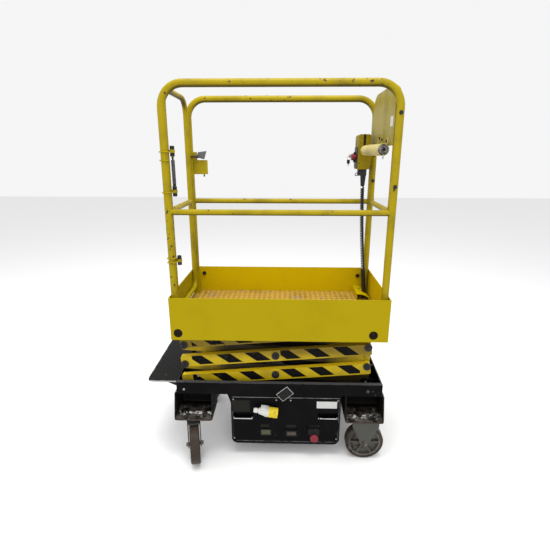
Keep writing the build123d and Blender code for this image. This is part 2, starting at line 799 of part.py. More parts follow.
def hoop(hoop_plane, outwards):
    """Bent top tube with two posts, foot plates and a mid rail."""
    with BuildPart() as rails:
        with BuildLine(hoop_plane):
            FilletPolyline(
                (-hoop_x, floor_top + 5),
                (-hoop_x, hoop_top),
                (hoop_x, hoop_top),
                (hoop_x, floor_top + 5),
                radius=hoop_bend,
            )
        with BuildSketch(Plane(origin=hoop_plane.from_local_coords((-hoop_x, floor_top + 5, 0)))):
            Circle(rail_r)
        sweep()
        middle = hoop_plane.from_local_coords((-hoop_x, mid_rail_z, 0))
        with BuildSketch(Plane(origin=middle, z_dir=(1, 0, 0))):
            Circle(mid_rail_r)
        extrude(amount=2 * hoop_x)
        for post_x in (-hoop_x, hoop_x):
            foot = hoop_plane.from_local_coords((post_x, 0, 0))
            foot_run = platform_y - board_thick - seat_gap - hoop_y + foot_inwards
            foot_y = foot.Y + outwards * (foot_run / 2 - foot_inwards)
            with BuildSketch(Plane(origin=(foot.X, foot_y, floor_top))):
                Rectangle(2 * rail_r, foot_run)
            extrude(amount=5)
    return rails.part


save(hoop(side.offset(hoop_y), -1), "near_hoop")
save(hoop(side.offset(-hoop_y), 1), "far_hoop")


def ring_path(half_y, low, high, low_bend, high_bend):
    """Closed rounded loop in an end plane, drawn in the open line builder."""
    FilletPolyline(
        (0, low),
        (half_y, low),
        (half_y, high),
        (0, high),
        radius=[low_bend, high_bend],
    )
    FilletPolyline(
        (0, high),
        (-half_y, high),
        (-half_y, low),
        (0, low),
        radius=[high_bend, low_bend],
    )


with BuildPart() as end_frame:
    with BuildLine(end.offset(hoop_x)):
        ring_path(end_frame_y, mid_rail_z, gate_top, end_frame_bend, gate_bend)
    with BuildSketch(Plane(origin=at(hoop_x, 0, mid_rail_z), z_dir=(0, 1, 0))):
        Circle(mid_rail_r)
    sweep()
save(end_frame.part, "end_frame")

plate_bottom = 1600.0
with BuildPart() as instruction_plate:
    with BuildSketch(end.offset(hoop_x - mid_rail_r - 3 - seat_gap)):
        with Locations((0, (plate_bottom + gate_top + mid_rail_r) / 2)):
            sheet = Rectangle(2 * (end_frame_y + mid_rail_r), gate_top + mid_rail_r - plate_bottom)
        fillet(sheet.vertices().group_by(Axis.Y)[-1], radius=gate_bend + mid_rail_r)
        fillet(sheet.vertices().group_by(Axis.Y)[0], radius=12)
    extrude(amount=3)
save(instruction_plate.part, "instruction_plate")

# ---- gate ---------------------------------------------------------------------------------
with BuildPart() as gate_frame:
    with BuildLine(end.offset(gate_x)):
        ring_path(gate_y, gate_bottom, gate_top, end_frame_bend, gate_bend)
    with BuildSketch(Plane(origin=at(gate_x, 0, gate_bottom), z_dir=(0, 1, 0))):
        Circle(mid_rail_r)
    sweep()
    with BuildSketch(Plane(origin=at(gate_x, -gate_y, mid_rail_z), z_dir=(0, 1, 0))):
        Circle(mid_rail_r)
    extrude(amount=2 * gate_y)
    # toe plate on the outer side
    with BuildSketch(end.offset(-platform_half)):
        with Locations((0, (floor_top + gate_floor_gap + board_top) / 2)):
            Rectangle(2 * gate_plate_y, board_top - floor_top - gate_floor_gap)
    extrude(amount=gate_x + platform_half - mid_rail_r + 1)
save(gate_frame.part, "gate_frame")

hinge_pin_r = 7.0
hinge_lug = 6.0
hinge_rows = (1575.0, 1402.0, 1082.0)      # faces where a gate lug sits on its post lug
hinge_cap_r = 9.0
hinge_cap_length = 16.0


def lug_outline(start, stop, half_width, eye_r):
    """A flat lug drawn in the open sketch, from a tube's centre to the hinge eye."""
    run = Vector(*stop) - Vector(*start)
    middle = ((start[0] + stop[0]) / 2, (start[1] + stop[1]) / 2)
    with Locations(Location(middle, degrees(atan2(run.Y, run.X)))):
        Rectangle(run.length, 2 * half_width)
    with Locations(stop):
        Circle(eye_r)


with BuildPart() as gate_hinges:
    for row in hinge_rows:
        with BuildSketch(plan.offset(row - hinge_lug)):
            lug_outline((-hoop_x, -hoop_y), gate_hinge, 8, 12)
            with Locations((-hoop_x, -hoop_y)):
                Circle(rail_r, mode=Mode.SUBTRACT)
        extrude(amount=hinge_lug)
        with BuildSketch(plan.offset(row)):
            with Locations(gate_hinge):
                Circle(hinge_pin_r)
        extrude(amount=hinge_lug + 1)
        for cap_at in (row + hinge_lug + 1, row - hinge_lug - hinge_cap_length):
            with BuildSketch(plan.offset(cap_at)):
                with Locations(gate_hinge):
                    Circle(hinge_cap_r)
            extrude(amount=hinge_cap_length)
save(gate_hinges.part, "gate_hinges")

with BuildPart() as gate_lugs:
    for row in hinge_rows:
        with BuildSketch(plan.offset(row + 0.5)):
            lug_outline((gate_x, -gate_y), gate_hinge, 7, 12)
            with Locations((gate_x, -gate_y)):
                Circle(mid_rail_r, mode=Mode.SUBTRACT)
            with Locations(gate_hinge):
                Circle(hinge_pin_r + running_fit, mode=Mode.SUBTRACT)
        extrude(amount=hinge_lug)
save(gate_lugs.part, "gate_lugs")

with BuildPart() as gate_closer:
    closer_low = hinge_rows[1] + hinge_lug + 1 + hinge_cap_length + seat_gap
    closer_high = hinge_rows[0] - hinge_lug - hinge_cap_length - seat_gap
    with BuildSketch(plan.offset(closer_low)):
        with Locations(gate_hinge):
            Circle(hinge_cap_r + 1)
    extrude(amount=closer_high - closer_low)
save(gate_closer.part, "gate_closer")

latch_left = -hoop_x + rail_r + seat_gap
with BuildPart() as gate_latch:
    with BuildSketch(side.offset(-hoop_y - 3)):
        with BuildLine():
            Polyline(
                (latch_left, 1458),
                (latch_left + 76, 1458),
                (latch_left + 76, 1534),
                (latch_left + 20, 1534),
                (latch_left + 20, 1576),
                (latch_left, 1576),
                close=True,
            )
        make_face()
    extrude(amount=6)
save(gate_latch.part, "gate_latch")

with BuildPart() as latch_lever:
    with BuildSketch(side.offset(-hoop_y + 3.5)):
        with BuildLine():
            Polyline(
                (latch_left + 30, 1528),
                (latch_left + 66, 1520),
                (latch_left + 84, 1580),
                (latch_left + 48, 1576),
                close=True,
            )
        make_face()
    extrude(amount=5)
    with BuildSketch(side.offset(-hoop_y + 3)):
        with Locations((latch_left + 48, 1528)):
            Circle(4)
    extrude(amount=9)
save(latch_lever.part, "latch_lever")

# ---- control end --------------------------------------------------------------------------
tube_r = 26.0
tube_wall = 2.5
tube_near = (455.0, -195.0, 1583.0)
tube_far = (435.0, 125.0, 1583.0)
plate_face = hoop_x - mid_rail_r - 3 - seat_gap
tube_run = Vector(*tube_near) - Vector(*tube_far)
tube_plane = Plane(origin=at(*tube_far), z_dir=tube_run)

with BuildPart() as document_tube:
    with BuildSketch(tube_plane):
        Circle(tube_r)
    extrude(amount=tube_run.length)
    fillet(document_tube.faces().sort_by(Axis.Y)[-1].edges(), radius=8)
    with BuildSketch(tube_plane.offset(4)):
        Circle(tube_r - tube_wall)
    extrude(amount=tube_run.length, mode=Mode.SUBTRACT)
    # two straps hang the tube on the end frame's plate
    for strap_at in (70.0, 270.0):
        strap_middle = tube_plane.from_local_coords((0, 0, strap_at))
        strap_left = strap_middle.X - mid_x
        strap_right = plate_face - seat_gap
        with BuildSketch(side.offset(-strap_middle.Y - 9)):
            with BuildLine():
                Polyline(
                    (strap_left, tube_far[2] + tube_r - 1),
                    (strap_left, tube_far[2] + tube_r + 2),
                    (strap_right - 3, tube_far[2] + tube_r + 2),
                    (strap_right - 3, tube_far[2] + tube_r + 28),
                    (strap_right, tube_far[2] + tube_r + 28),
                    (strap_right, tube_far[2] + tube_r - 1),
                    close=True,
                )
            make_face()
        extrude(amount=18)
save(document_tube.part, "document_tube")

box_x = (402.0, 466.0)
box_y = (140.0, 240.0)
box_z = (1489.0, 1664.0)
with BuildPart() as control_box:
    with BuildSketch(side.offset(-box_y[1])):
        with Locations(((box_x[0] + box_x[1]) / 2, (box_z[0] + box_z[1]) / 2)):
            outline = Rectangle(box_x[1] - box_x[0], box_z[1] - box_z[0])
        fillet(outline.vertices().group_by(Axis.Y)[-1], radius=12)
        fillet(outline.vertices().group_by(Axis.Y)[0], radius=4)
    extrude(amount=box_y[1] - box_y[0])
    # bracket to the end loop's leg
    with BuildSketch(end.offset(box_x[1])):
        with Locations((end_frame_y, (box_z[0] + plate_bottom) / 2)):
            Rectangle(24, plate_bottom - box_z[0] - 30)
    extrude(amount=hoop_x - mid_rail_r - box_x[1] - seat_gap)
save(control_box.part, "control_box")

face_thick = 3.0
platform_stop_at = (185.0, 1551.0)
with BuildPart() as control_face:
    with BuildSketch(end.offset(box_x[0] - face_thick)):
        with Locations(((box_y[0] + box_y[1]) / 2, 1548)):
            RectangleRounded(box_y[1] - box_y[0] - 12, 106, 4)
    extrude(amount=face_thick)
    with BuildSketch(end.offset(box_x[0] - face_thick - 8)):
        with Locations((213, 1532), (213, 1568)):
            Circle(9)
    extrude(amount=8)
save(control_face.part, "control_face")

with BuildPart() as platform_stop_button:
    with BuildSketch(end.offset(box_x[0] - face_thick - 24)):
        with Locations(platform_stop_at):
            Circle(18)
    extrude(amount=11)
    with BuildSketch(end.offset(box_x[0] - face_thick - 13)):
        with Locations(platform_stop_at):
            Circle(12)
    extrude(amount=13)
    fillet(platform_stop_button.faces().sort_by(Axis.X)[0].edges(), radius=4)
save(platform_stop_button.part, "platform_stop_button")

# the coiled lead drops from the box's gland to a plain sleeve at the floor
lead_y = 190.0
lead_r = 10.5
gland_x = 444.0
gland_drop = 34.0
boot_drop = 56.0
with BuildPart() as lead_gland:
    with BuildSketch(plan.offset(box_z[0] - gland_drop)):
        with Locations((gland_x - 8, lead_y)):
            RectangleRounded(46, 36, 6)
    extrude(amount=gland_drop)
    with BuildSketch(plan.offset(box_z[0] - gland_drop)):
        with Locations((gland_x, lead_y)):
            Circle(15)
    with BuildSketch(plan.offset(box_z[0] - gland_drop - boot_drop)):
        with Locations((gland_x, lead_y)):
            Circle(lead_r)
    loft()
save(lead_gland.part, "lead_gland")

sleeve_top = 930.0
lead_route = (
    (444.0, 1398.4),
    (447.0, 1300.0),
    (455.0, 1160.0),
    (466.0, 1030.0),
    (476.0, 930.0),
)


def route_radii(points):
    """The widest arc that each corner's two runs allow."""
    radii = []
    for before, corner, after in zip(points, points[1:], points[2:]):
        run_in = Vector(*corner) - Vector(*before)
        run_out = Vector(*after) - Vector(*corner)
        turn = radians(run_in.get_angle(run_out))
        radii.append(0.45 * min(run_in.length, run_out.length) / tan(turn / 2))
    return radii


lead_radii = route_radii(lead_route)
with BuildPart() as coiled_lead:
    with BuildLine(side.offset(-lead_y)):
        FilletPolyline(*lead_route, radius=lead_radii)
    start_run = Vector(lead_route[1][0] - lead_route[0][0], 0, lead_route[1][1] - lead_route[0][1])
    with BuildSketch(Plane(origin=at(lead_route[0][0], lead_y, lead_route[0][1]), z_dir=start_run)):
        Circle(lead_r)
    sweep()
save(coiled_lead.part, "coiled_lead")

sleeve_r = 12.0
sleeve_dir = Vector(lead_route[-1][0] - lead_route[-2][0], 0, lead_route[-1][1] - lead_route[-2][1])
sleeve_length = (sleeve_top - floor_top) / cos(radians(sleeve_dir.get_angle(Vector(0, 0, -1)))) - 2
sleeve_end_x = lead_route[-1][0] + sleeve_dir.X / -sleeve_dir.Z * (sleeve_top - floor_top)
sleeve_plane = Plane(origin=at(lead_route[-1][0], lead_y, sleeve_top), z_dir=sleeve_dir)
with BuildPart() as lead_sleeve:
    with BuildSketch(sleeve_plane.offset(seat_gap)):
        Circle(sleeve_r)
    extrude(amount=sleeve_length)
save(lead_sleeve.part, "lead_sleeve")

guard_left, guard_right = 437.0, 516.0
guard_height = 40.0
guard_front = 120.0
guard_back = platform_y - board_thick - seat_gap
guard_profiles = ((0.0, 0.0, Mode.ADD), (3.0, 6.0, Mode.SUBTRACT))
with BuildPart() as lead_guard:
    for inset_left, inset_right, how in guard_profiles:
        with BuildSketch(side.offset(-guard_back)):
            with BuildLine():
                low_left = (guard_left + inset_left, floor_top)
                reach = guard_right - inset_right - low_left[0]
                height = guard_height - inset_left
                Line(low_left, (low_left[0], floor_top + height))
                EllipticalCenterArc(low_left, reach, height, start_angle=0, arc_size=90)
                Line((low_left[0] + reach, floor_top), low_left)
            make_face()
        extrude(amount=guard_back - guard_front, mode=how)
    # openings for the sleeve and for the post's foot
    with BuildSketch(plan.offset(floor_top)):
        with Locations((sleeve_end_x - 1, lead_y)):
            Circle(sleeve_r + 3)
        with Locations((hoop_x, (hoop_y - foot_inwards - 1 + guard_back) / 2)):
            Rectangle(2 * rail_r + 2, guard_back - hoop_y + foot_inwards + 1)
    extrude(amount=guard_height + 5, mode=Mode.SUBTRACT)
save(lead_guard.part, "lead_guard")

print("mid_x", round(mid_x, 3), "stow angle", round(stow_angle, 4), "slide_x", round(slide_x, 3))
print("eye", [round(v, 2) for v in eye_at], "run", round(stroke_run, 2))
print("lead radii", [round(r) for r in lead_radii])
print("top roller", round(top_roller_r, 2), "track", track_top, "channel", channel_low)
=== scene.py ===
"""Looks of a push-around scissor lift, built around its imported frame.

Metres, +Z up. X runs from the entry step to the control end, -Y is the control-panel side.
"""

from math import atan2, cos, hypot, pi, radians, sin

import bmesh
import bpy
from mathutils import Matrix, Vector


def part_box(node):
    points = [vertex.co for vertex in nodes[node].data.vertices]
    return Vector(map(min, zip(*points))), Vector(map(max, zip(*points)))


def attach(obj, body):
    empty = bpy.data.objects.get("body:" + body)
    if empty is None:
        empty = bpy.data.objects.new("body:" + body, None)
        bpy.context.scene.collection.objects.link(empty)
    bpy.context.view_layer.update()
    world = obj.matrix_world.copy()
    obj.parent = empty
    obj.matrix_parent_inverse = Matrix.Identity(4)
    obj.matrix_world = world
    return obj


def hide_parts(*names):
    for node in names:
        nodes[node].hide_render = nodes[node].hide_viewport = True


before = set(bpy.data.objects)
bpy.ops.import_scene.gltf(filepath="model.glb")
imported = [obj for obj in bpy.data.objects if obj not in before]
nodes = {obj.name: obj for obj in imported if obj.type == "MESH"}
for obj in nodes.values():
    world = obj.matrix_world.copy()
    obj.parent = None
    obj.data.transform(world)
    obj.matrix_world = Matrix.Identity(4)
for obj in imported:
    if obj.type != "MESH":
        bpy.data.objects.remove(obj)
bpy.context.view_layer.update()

# ---- camera ----
# A wide lens at a person's eye height, before the panel side. It is tipped down at the machine
# and turned a little towards the entry step.
camera_tip = radians(16.48)
camera_turn = radians(1.57)
camera_roll = radians(-0.06)


def placed(name, data):
    """An object that shows some data, linked into the scene."""
    made = bpy.data.objects.new(name, data)
    bpy.context.collection.objects.link(made)
    return made


camera_data = bpy.data.cameras.new("camera")
camera_data.sensor_width = 36.0
camera_data.lens = 26.25
camera = placed("camera", camera_data)
camera.location = (0.0916, -2.0551, 1.554)
camera.rotation_euler = (radians(90) - camera_tip, camera_roll, camera_turn)
bpy.context.scene.camera = camera

# ---- coiled lead ----
# A black coiled electric lead, moulded rubber over copper, that hangs from the control box's
# gland to a plain sleeve at the floor. Its own weight draws the turns a little apart.


def plain_material(name, colour, roughness, specular=0.3):
    """A Principled material with constant values; returns it with its tree and shader."""
    material = bpy.data.materials.new(name)
    material.use_nodes = True
    shader = material.node_tree.nodes["Principled BSDF"]
    shader.inputs["Base Color"].default_value = (*colour, 1)
    shader.inputs["Roughness"].default_value = roughness
    shader.inputs["Specular IOR Level"].default_value = specular
    return material, material.node_tree, shader


def node(tree, kind, **values):
    """A node with its properties, and its sockets set or linked by name or number."""
    made = tree.nodes.new(kind)
    sockets = values.pop("sockets", {})
    for key, value in values.items():
        setattr(made, key, value)
    for key, value in sockets.items():
        if isinstance(value, bpy.types.NodeSocket):
            tree.links.new(value, made.inputs[key])
        else:
            made.inputs[key].default_value = value
    return made


def noise_of(tree, scale, detail=2.0, roughness=0.5):
    """The value of a noise on Object coordinates."""
    place = node(tree, "ShaderNodeTexCoord").outputs["Object"]
    sockets = {"Vector": place, "Scale": scale, "Detail": detail, "Roughness": roughness}
    return node(tree, "ShaderNodeTexNoise", sockets=sockets).outputs[0]


def coat(material, *names):
    """Give CAD nodes one material."""
    for name in names:
        nodes[name].data.materials.clear()
        nodes[name].data.materials.append(material)


lead_wire = 0.0074
lead_coil = 0.0076            # from the coil's axis to the wire's centre
lead_pitch = 0.0096
lead_points_per_turn = 12
lead_y = 0.19
lead_route = (
    (0.5065, 1.3984), (0.5095, 1.3), (0.5175, 1.16), (0.5285, 1.03), (0.5385, 0.93),
)


def nurbs_line(name, points, bevel=0.0):
    """A smooth curve object through control points, round where bevel is set."""
    data = bpy.data.curves.new(name, "CURVE")
    data.dimensions = "3D"
    data.bevel_depth = bevel
    data.bevel_resolution = 3
    data.use_fill_caps = bevel > 0
    spline = data.splines.new("NURBS")
    spline.points.add(len(points) - 1)
    for point, place in zip(spline.points, points):
        point.co = (*place, 1)
    spline.order_u = 3
    spline.use_endpoint_u = True
    spline.resolution_u = 3 if bevel else 12
    return placed(name, data)


def line_places(line):
    """The places along a curve that has no bevel."""
    mesh = bpy.data.meshes.new_from_object(line)
    places = [vertex.co.copy() for vertex in mesh.vertices]
    bpy.data.meshes.remove(mesh)
    return places


route_line = nurbs_line("lead_route", [(x, lead_y, z) for x, z in lead_route])
route_places = line_places(route_line)
bpy.data.objects.remove(route_line)


def place_along(places, distance):
    """The place and the direction at a distance along a run of places."""
    for start, stop in zip(places, places[1:]):
        step = stop - start
        if distance <= step.length:
            return start + step.normalized() * distance, step.normalized()
        distance -= step.length
    step = places[-1] - places[-2]
    return places[-1].copy(), step.normalized()


lead_run = sum((b - a).length for a, b in zip(route_places, route_places[1:]))
lead_turns = int(lead_run / lead_pitch) - 2
coil_points = [route_places[0].copy()]
coil_steps = lead_turns * lead_points_per_turn
for step in range(coil_steps + 1):
    along = lead_pitch + (lead_run - 2 * lead_pitch) * step / coil_steps
    centre, heading = place_along(route_places, along)
    across = heading.cross(Vector((0, 1, 0))).normalized()
    other = heading.cross(across)
    turn = 2 * pi * step / lead_points_per_turn
    coil_points.append(centre + (across * cos(turn) + other * sin(turn)) * lead_coil)
coil_points.append(route_places[-1].copy())
lead = nurbs_line("lead_coil", coil_points, lead_wire / 2)
# through the control points; the curve that they shape is a little shorter
lead_rubber, tree, shader = plain_material("lead_rubber", (0.01, 0.01, 0.01), 0.42)
lead_dust = {"Value": noise_of(tree, 60.0), "To Min": 0.32, "To Max": 0.62}
lead_gloss = node(tree, "ShaderNodeMapRange", sockets=lead_dust)
tree.links.new(lead_gloss.outputs[0], shader.inputs["Roughness"])
lead.data.materials.append(lead_rubber)
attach(lead, "platform")
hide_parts("coiled_lead")
coat(lead_rubber, "lead_gland", "lead_sleeve")

# ---- chassis ----
# Folded steel beams round a welded deck, sprayed satin black. Their long edges are rubbed
# grey, and hex bolts hold the castor brackets to the beams.


def shader_group(name, inputs, outputs):
    """An empty node group with named sockets; returns it with its two end nodes."""
    group = bpy.data.node_groups.new(name, "ShaderNodeTree")
    for label, kind, value in inputs:
        socket = group.interface.new_socket(label, in_out="INPUT", socket_type=kind)
        socket.default_value = value
    for label, kind in outputs:
        group.interface.new_socket(label, in_out="OUTPUT", socket_type=kind)
    start = group.nodes.new("NodeGroupInput")
    stop = group.nodes.new("NodeGroupOutput")
    return group, start, stop


def math_of(tree, operation, first, second=0.0, third=0.0):
    """A Math node's result."""
    sockets = {0: first, 1: second, 2: third}
    return node(tree, "ShaderNodeMath", operation=operation, sockets=sockets).outputs[0]


def mixed(tree, factor, first, second):
    """A colour mix's result."""
    sockets = {0: factor, 6: first, 7: second}
    return node(tree, "ShaderNodeMix", data_type="RGBA", sockets=sockets).outputs[2]


def ramp(tree, value, low, high):
    """Value turned from low..high into 0..1, clamped and smooth."""
    sockets = {0: value, 1: low, 2: high}
    made = node(tree, "ShaderNodeMapRange", interpolation_type="SMOOTHSTEP", sockets=sockets)
    return made.outputs[0]


# every coat of paint on the machine: chips down to primer or rust, and stains in patches
COLOUR, VALUE = "NodeSocketColor", "NodeSocketFloat"
worn_paint, worn_in, worn_out = shader_group(
    "worn paint",
    (
        ("Paint", COLOUR, (0.5, 0.5, 0.5, 1)),
        ("Bare", COLOUR, (0.03, 0.02, 0.015, 1)),
        ("Chips", VALUE, 0.7),
        ("Chip Size", VALUE, 30.0),
        ("Stain", VALUE, 0.3),
    ),
    (("Color", COLOUR), ("Chip", VALUE), ("Roughness", VALUE)),
)
tree = worn_paint
chip_noise = noise_of(tree, worn_in.outputs["Chip Size"], 6.0, 0.62)
patch_noise = noise_of(tree, 3.1, 3.0)
chip_value = math_of(tree, "MULTIPLY_ADD", patch_noise, 0.5, chip_noise)
chip_value = math_of(tree, "SUBTRACT", chip_value, 0.25)
chip_edge = math_of(tree, "ADD", worn_in.outputs["Chips"], 0.015)
chip_mask = ramp(tree, chip_value, worn_in.outputs["Chips"], chip_edge)
stain_noise = noise_of(tree, 9.0, 5.0)
stain_mask = ramp(tree, stain_noise, 0.42, 0.75)
stain_mask = math_of(tree, "MULTIPLY", stain_mask, worn_in.outputs["Stain"])
dark_paint = mixed(tree, 0.62, worn_in.outputs["Paint"], (0.02, 0.015, 0.01, 1))
stained = mixed(tree, stain_mask, worn_in.outputs["Paint"], dark_paint)
chipped = mixed(tree, chip_mask, stained, worn_in.outputs["Bare"])
paint_gloss = math_of(tree, "MULTIPLY_ADD", stain_noise, 0.25, 0.28)
tree.links.new(chipped, worn_out.inputs["Color"])
tree.links.new(chip_mask, worn_out.inputs["Chip"])
tree.links.new(paint_gloss, worn_out.inputs["Roughness"])

# a thin broken line rubbed bright along an edge, at a place on one axis
edge_wear, edge_in, edge_out = shader_group(
    "edge wear",
    (
        ("Along", VALUE, 0.0),
        ("Edge", VALUE, 0.0),
        ("Width", VALUE, 0.002),
        ("Break Up", VALUE, 0.5),
    ),
    (("Mask", VALUE),),
)
tree = edge_wear
off_edge = math_of(tree, "SUBTRACT", edge_in.outputs["Along"], edge_in.outputs["Edge"])
off_edge = math_of(tree, "ABSOLUTE", off_edge)
near_edge = math_of(tree, "DIVIDE", off_edge, edge_in.outputs["Width"])
near_edge = math_of(tree, "SUBTRACT", 1.0, near_edge)
edge_noise = noise_of(tree, 34.0, 4.0)
noise_cut = math_of(tree, "SUBTRACT", edge_noise, edge_in.outputs["Break Up"])
near_edge = math_of(tree, "MULTIPLY_ADD", noise_cut, 3.0, near_edge)
tree.links.new(ramp(tree, near_edge, 0.35, 0.75), edge_out.inputs["Mask"])


def grouped(tree, group, **sockets):
    """A node that places a group, with its inputs set or linked."""
    values = {key.replace("_", " "): value for key, value in sockets.items()}
    return node(tree, "ShaderNodeGroup", node_tree=group, sockets=values)


def worn_coat(tree, paint, bare, chips, chip_size, stain):
    """The worn paint group, placed with its values.

    chips is the noise level above which the paint is gone, chip_size the noise's scale, and
    stain the share of dirt in the patches.
    """
    colours = {"Paint": (*paint, 1), "Bare": (*bare, 1)}
    return grouped(tree, worn_paint, **colours, Chips=chips, Chip_Size=chip_size, Stain=stain)


def axes_of(tree, output="Object"):
    """X, Y and Z of a texture coordinate, by name or number."""
    coordinate = node(tree, "ShaderNodeTexCoord").outputs[output]
    return node(tree, "ShaderNodeSeparateXYZ", sockets={0: coordinate}).outputs


def rubbed_edges(tree, colour, edges, rubbed):
    """A colour with another along edges, each given as (axis, place, width, break up)."""
    axes = axes_of(tree)
    for axis, edge, width, break_up in edges:
        mask = grouped(tree, edge_wear, Along=axes[axis], Edge=edge, Width=width, Break_Up=break_up)
        colour = mixed(tree, mask.outputs["Mask"], colour, rubbed)
    return colour


def finish_paint(tree, shader, colour, worn, chip_strength):
    """Link a colour, and a worn coat's gloss and sunken chips, to the shader."""
    tree.links.new(colour, shader.inputs["Base Color"])
    tree.links.new(worn.outputs["Roughness"], shader.inputs["Roughness"])
    relief = {"Strength": chip_strength, "Distance": 0.0006, "Height": worn.outputs["Chip"]}
    bump = node(tree, "ShaderNodeBump", invert=True, sockets=relief)
    tree.links.new(bump.outputs[0], shader.inputs["Normal"])


def paint_material(
    name, paint, bare, chips, chip_size, stain, edges=(), rubbed=(0.3, 0.3, 0.29, 1), specular=0.12
):
    """Worn paint, rubbed to another colour along the edges that are given."""
    material, tree, shader = plain_material(name, paint, 0.4, specular)
    worn = worn_coat(tree, paint, bare, chips, chip_size, stain)
    colour = rubbed_edges(tree, worn.outputs["Color"], edges, rubbed)
    finish_paint(tree, shader, colour, worn, 0.25)
    return material


def overlay(tree, mask, colour):
    """Lay a colour over the one that a material has so far."""
    base = tree.nodes["Principled BSDF"].inputs["Base Color"]
    tree.links.new(mixed(tree, mask, base.links[0].from_socket, colour), base)


chassis_low, chassis_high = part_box("chassis_frame")
black = (0.0022, 0.0022, 0.0028)
worn_grey = (0.06, 0.06, 0.064, 1)
chassis_paint = paint_material(
    "chassis_paint",
    black,
    (0.05, 0.045, 0.04),
    0.66,
    60.0,
    0.3,
    (
        ("Z", chassis_high.z, 0.0016, 0.48),
        ("X", chassis_low.x, 0.002, 0.5),
        ("X", chassis_high.x, 0.002, 0.5),
    ),
    worn_grey,
    0.04,
)
coat(chassis_paint, "chassis_frame", "chassis_deck", "power_box")


def turned(mesh, base, along, profile, steps):
    """Spin a profile of (distance along, radius) round an axis; closed where a radius is 0."""
    along = Vector(along).normalized()
    across = along.orthogonal().normalized()
    base = Vector(base)
    chain = [mesh.verts.new(base + along * d + across * r) for d, r in profile]
    edges = [mesh.edges.new(pair) for pair in zip(chain, chain[1:])]
    bmesh.ops.spin(
        mesh, geom=chain + edges, cent=base, axis=along, angle=2 * pi, steps=steps, use_merge=True
    )
    bmesh.ops.remove_doubles(mesh, verts=mesh.verts, dist=1e-6)


def bevelled(mesh, verts, offset, segments):
    """Bevel every edge that meets some vertices."""
    edges = list(dict.fromkeys(edge for vertex in verts for edge in vertex.link_edges))
    bmesh.ops.bevel(
        mesh,
        geom=edges,
        offset=offset,
        segments=segments,
        profile=0.5,
        affect="EDGES",
        material=-1,
    )


def block(mesh, low, high, edge=0.0, segments=2):
    """A box between two corners, with its edges bevelled."""
    low, high = Vector(low), Vector(high)
    made = bmesh.ops.create_cube(mesh, size=1.0)["verts"]
    bmesh.ops.scale(mesh, vec=high - low, verts=made)
    bmesh.ops.translate(mesh, vec=(low + high) / 2, verts=made)
    if edge:
        bevelled(mesh, made, edge, segments)


washer_thick = 0.0015
hex_corner, hex_crown = 1.15, 1.08           # a head's corners and its crown, for half its width


def bolt(mesh, base, along, width, height, washer):
    """A hex head, its width across flats, on a round washer, given by its radius."""
    along = Vector(along).normalized()
    rim = ((0, 0), (0, washer), (washer_thick, washer), (washer_thick, 0))
    turned(mesh, base, along, rim, 20)
    turn = Vector((0, 0, 1)).rotation_difference(along).to_matrix().to_4x4()
    middle = Matrix.Translation(Vector(base) + along * (washer_thick + height / 2))
    head = bmesh.ops.create_cone(
        mesh,
        cap_ends=True,
        segments=6,
        radius1=width / 2 * hex_corner,
        radius2=width / 2 * hex_crown,
        depth=height,
        matrix=middle @ turn,
    )["verts"]
    bevelled(mesh, head, 0.0006, 1)


def bolt_pair(mesh, x, y, z, way, *sizes):
    """The same bolt on both sides of the machine, its head outwards (1) or inwards (-1)."""
    for side in (-1, 1):
        bolt(mesh, (x, side * y, z), (0, side * way, 0), *sizes)


sharp_above = radians(35)


def piece(name, mesh, body, material):
    """Turn a finished mesh into an object that rides on a body."""
    bmesh.ops.recalc_face_normals(mesh, faces=mesh.faces)
    data = bpy.data.meshes.new(name)
    for face in mesh.faces:
        face.smooth = True
    mesh.to_mesh(data)
    mesh.free()
    data.set_sharp_from_angle(angle=sharp_above)
    made = placed(name, data)
    data.materials.append(material)
    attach(made, body)
    return made


dull_bolt = paint_material(
    "dull_bolt", (0.045, 0.035, 0.028), (0.14, 0.085, 0.05), 0.58, 160.0, 0.5
)
zinc_bolt = paint_material(
    "zinc_bolt", (0.34, 0.33, 0.29), (0.12, 0.09, 0.06), 0.64, 160.0, 0.5, specular=0.5
)
beam_face = chassis_low.y
for name, x, z, material, width in (
    ("beam_bolts_left", -0.427, 0.4015, zinc_bolt, 0.009),
    ("beam_bolts_right", 0.517, 0.4045, dull_bolt, 0.014),
):
    mesh = bmesh.new()
    bolt_pair(mesh, x, abs(beam_face), z, 1, width, 0.004, width * 0.65)
    piece(name, mesh, "chassis", material)

# ---- entry step ----
# Chequered steel plate in black paint, welded on two gussets at the chassis's end. Boots have
# rubbed its raised bars, and its rim is worn to pale metal.
tread_bars, tread_in, tread_out = shader_group(
    "tread bars", (("Pitch", VALUE, 0.03),), (("Height", VALUE),)
)
tree = tread_bars
tread_axes = axes_of(tree)
cells = [math_of(tree, "DIVIDE", tread_axes[axis], tread_in.outputs["Pitch"]) for axis in (0, 1)]
corners = [math_of(tree, "FLOOR", cell) for cell in cells]
parity = math_of(tree, "FLOORED_MODULO", math_of(tree, "ADD", *corners), 2.0)
cell_turn = math_of(tree, "MULTIPLY_ADD", parity, -2.0, 1.0)
inside = [math_of(tree, "SUBTRACT", math_of(tree, "FRACT", cell), 0.5) for cell in cells]
turned_y = math_of(tree, "MULTIPLY", inside[1], cell_turn)
bar_along = math_of(tree, "DIVIDE", math_of(tree, "ADD", inside[0], turned_y), 0.56)
bar_across = math_of(tree, "DIVIDE", math_of(tree, "SUBTRACT", inside[0], turned_y), 0.17)
bar_reach = math_of(tree, "MULTIPLY", bar_across, bar_across)
bar_reach = math_of(tree, "MULTIPLY_ADD", bar_along, bar_along, bar_reach)
tree.links.new(ramp(tree, bar_reach, 1.1, 0.5), tread_out.inputs["Height"])


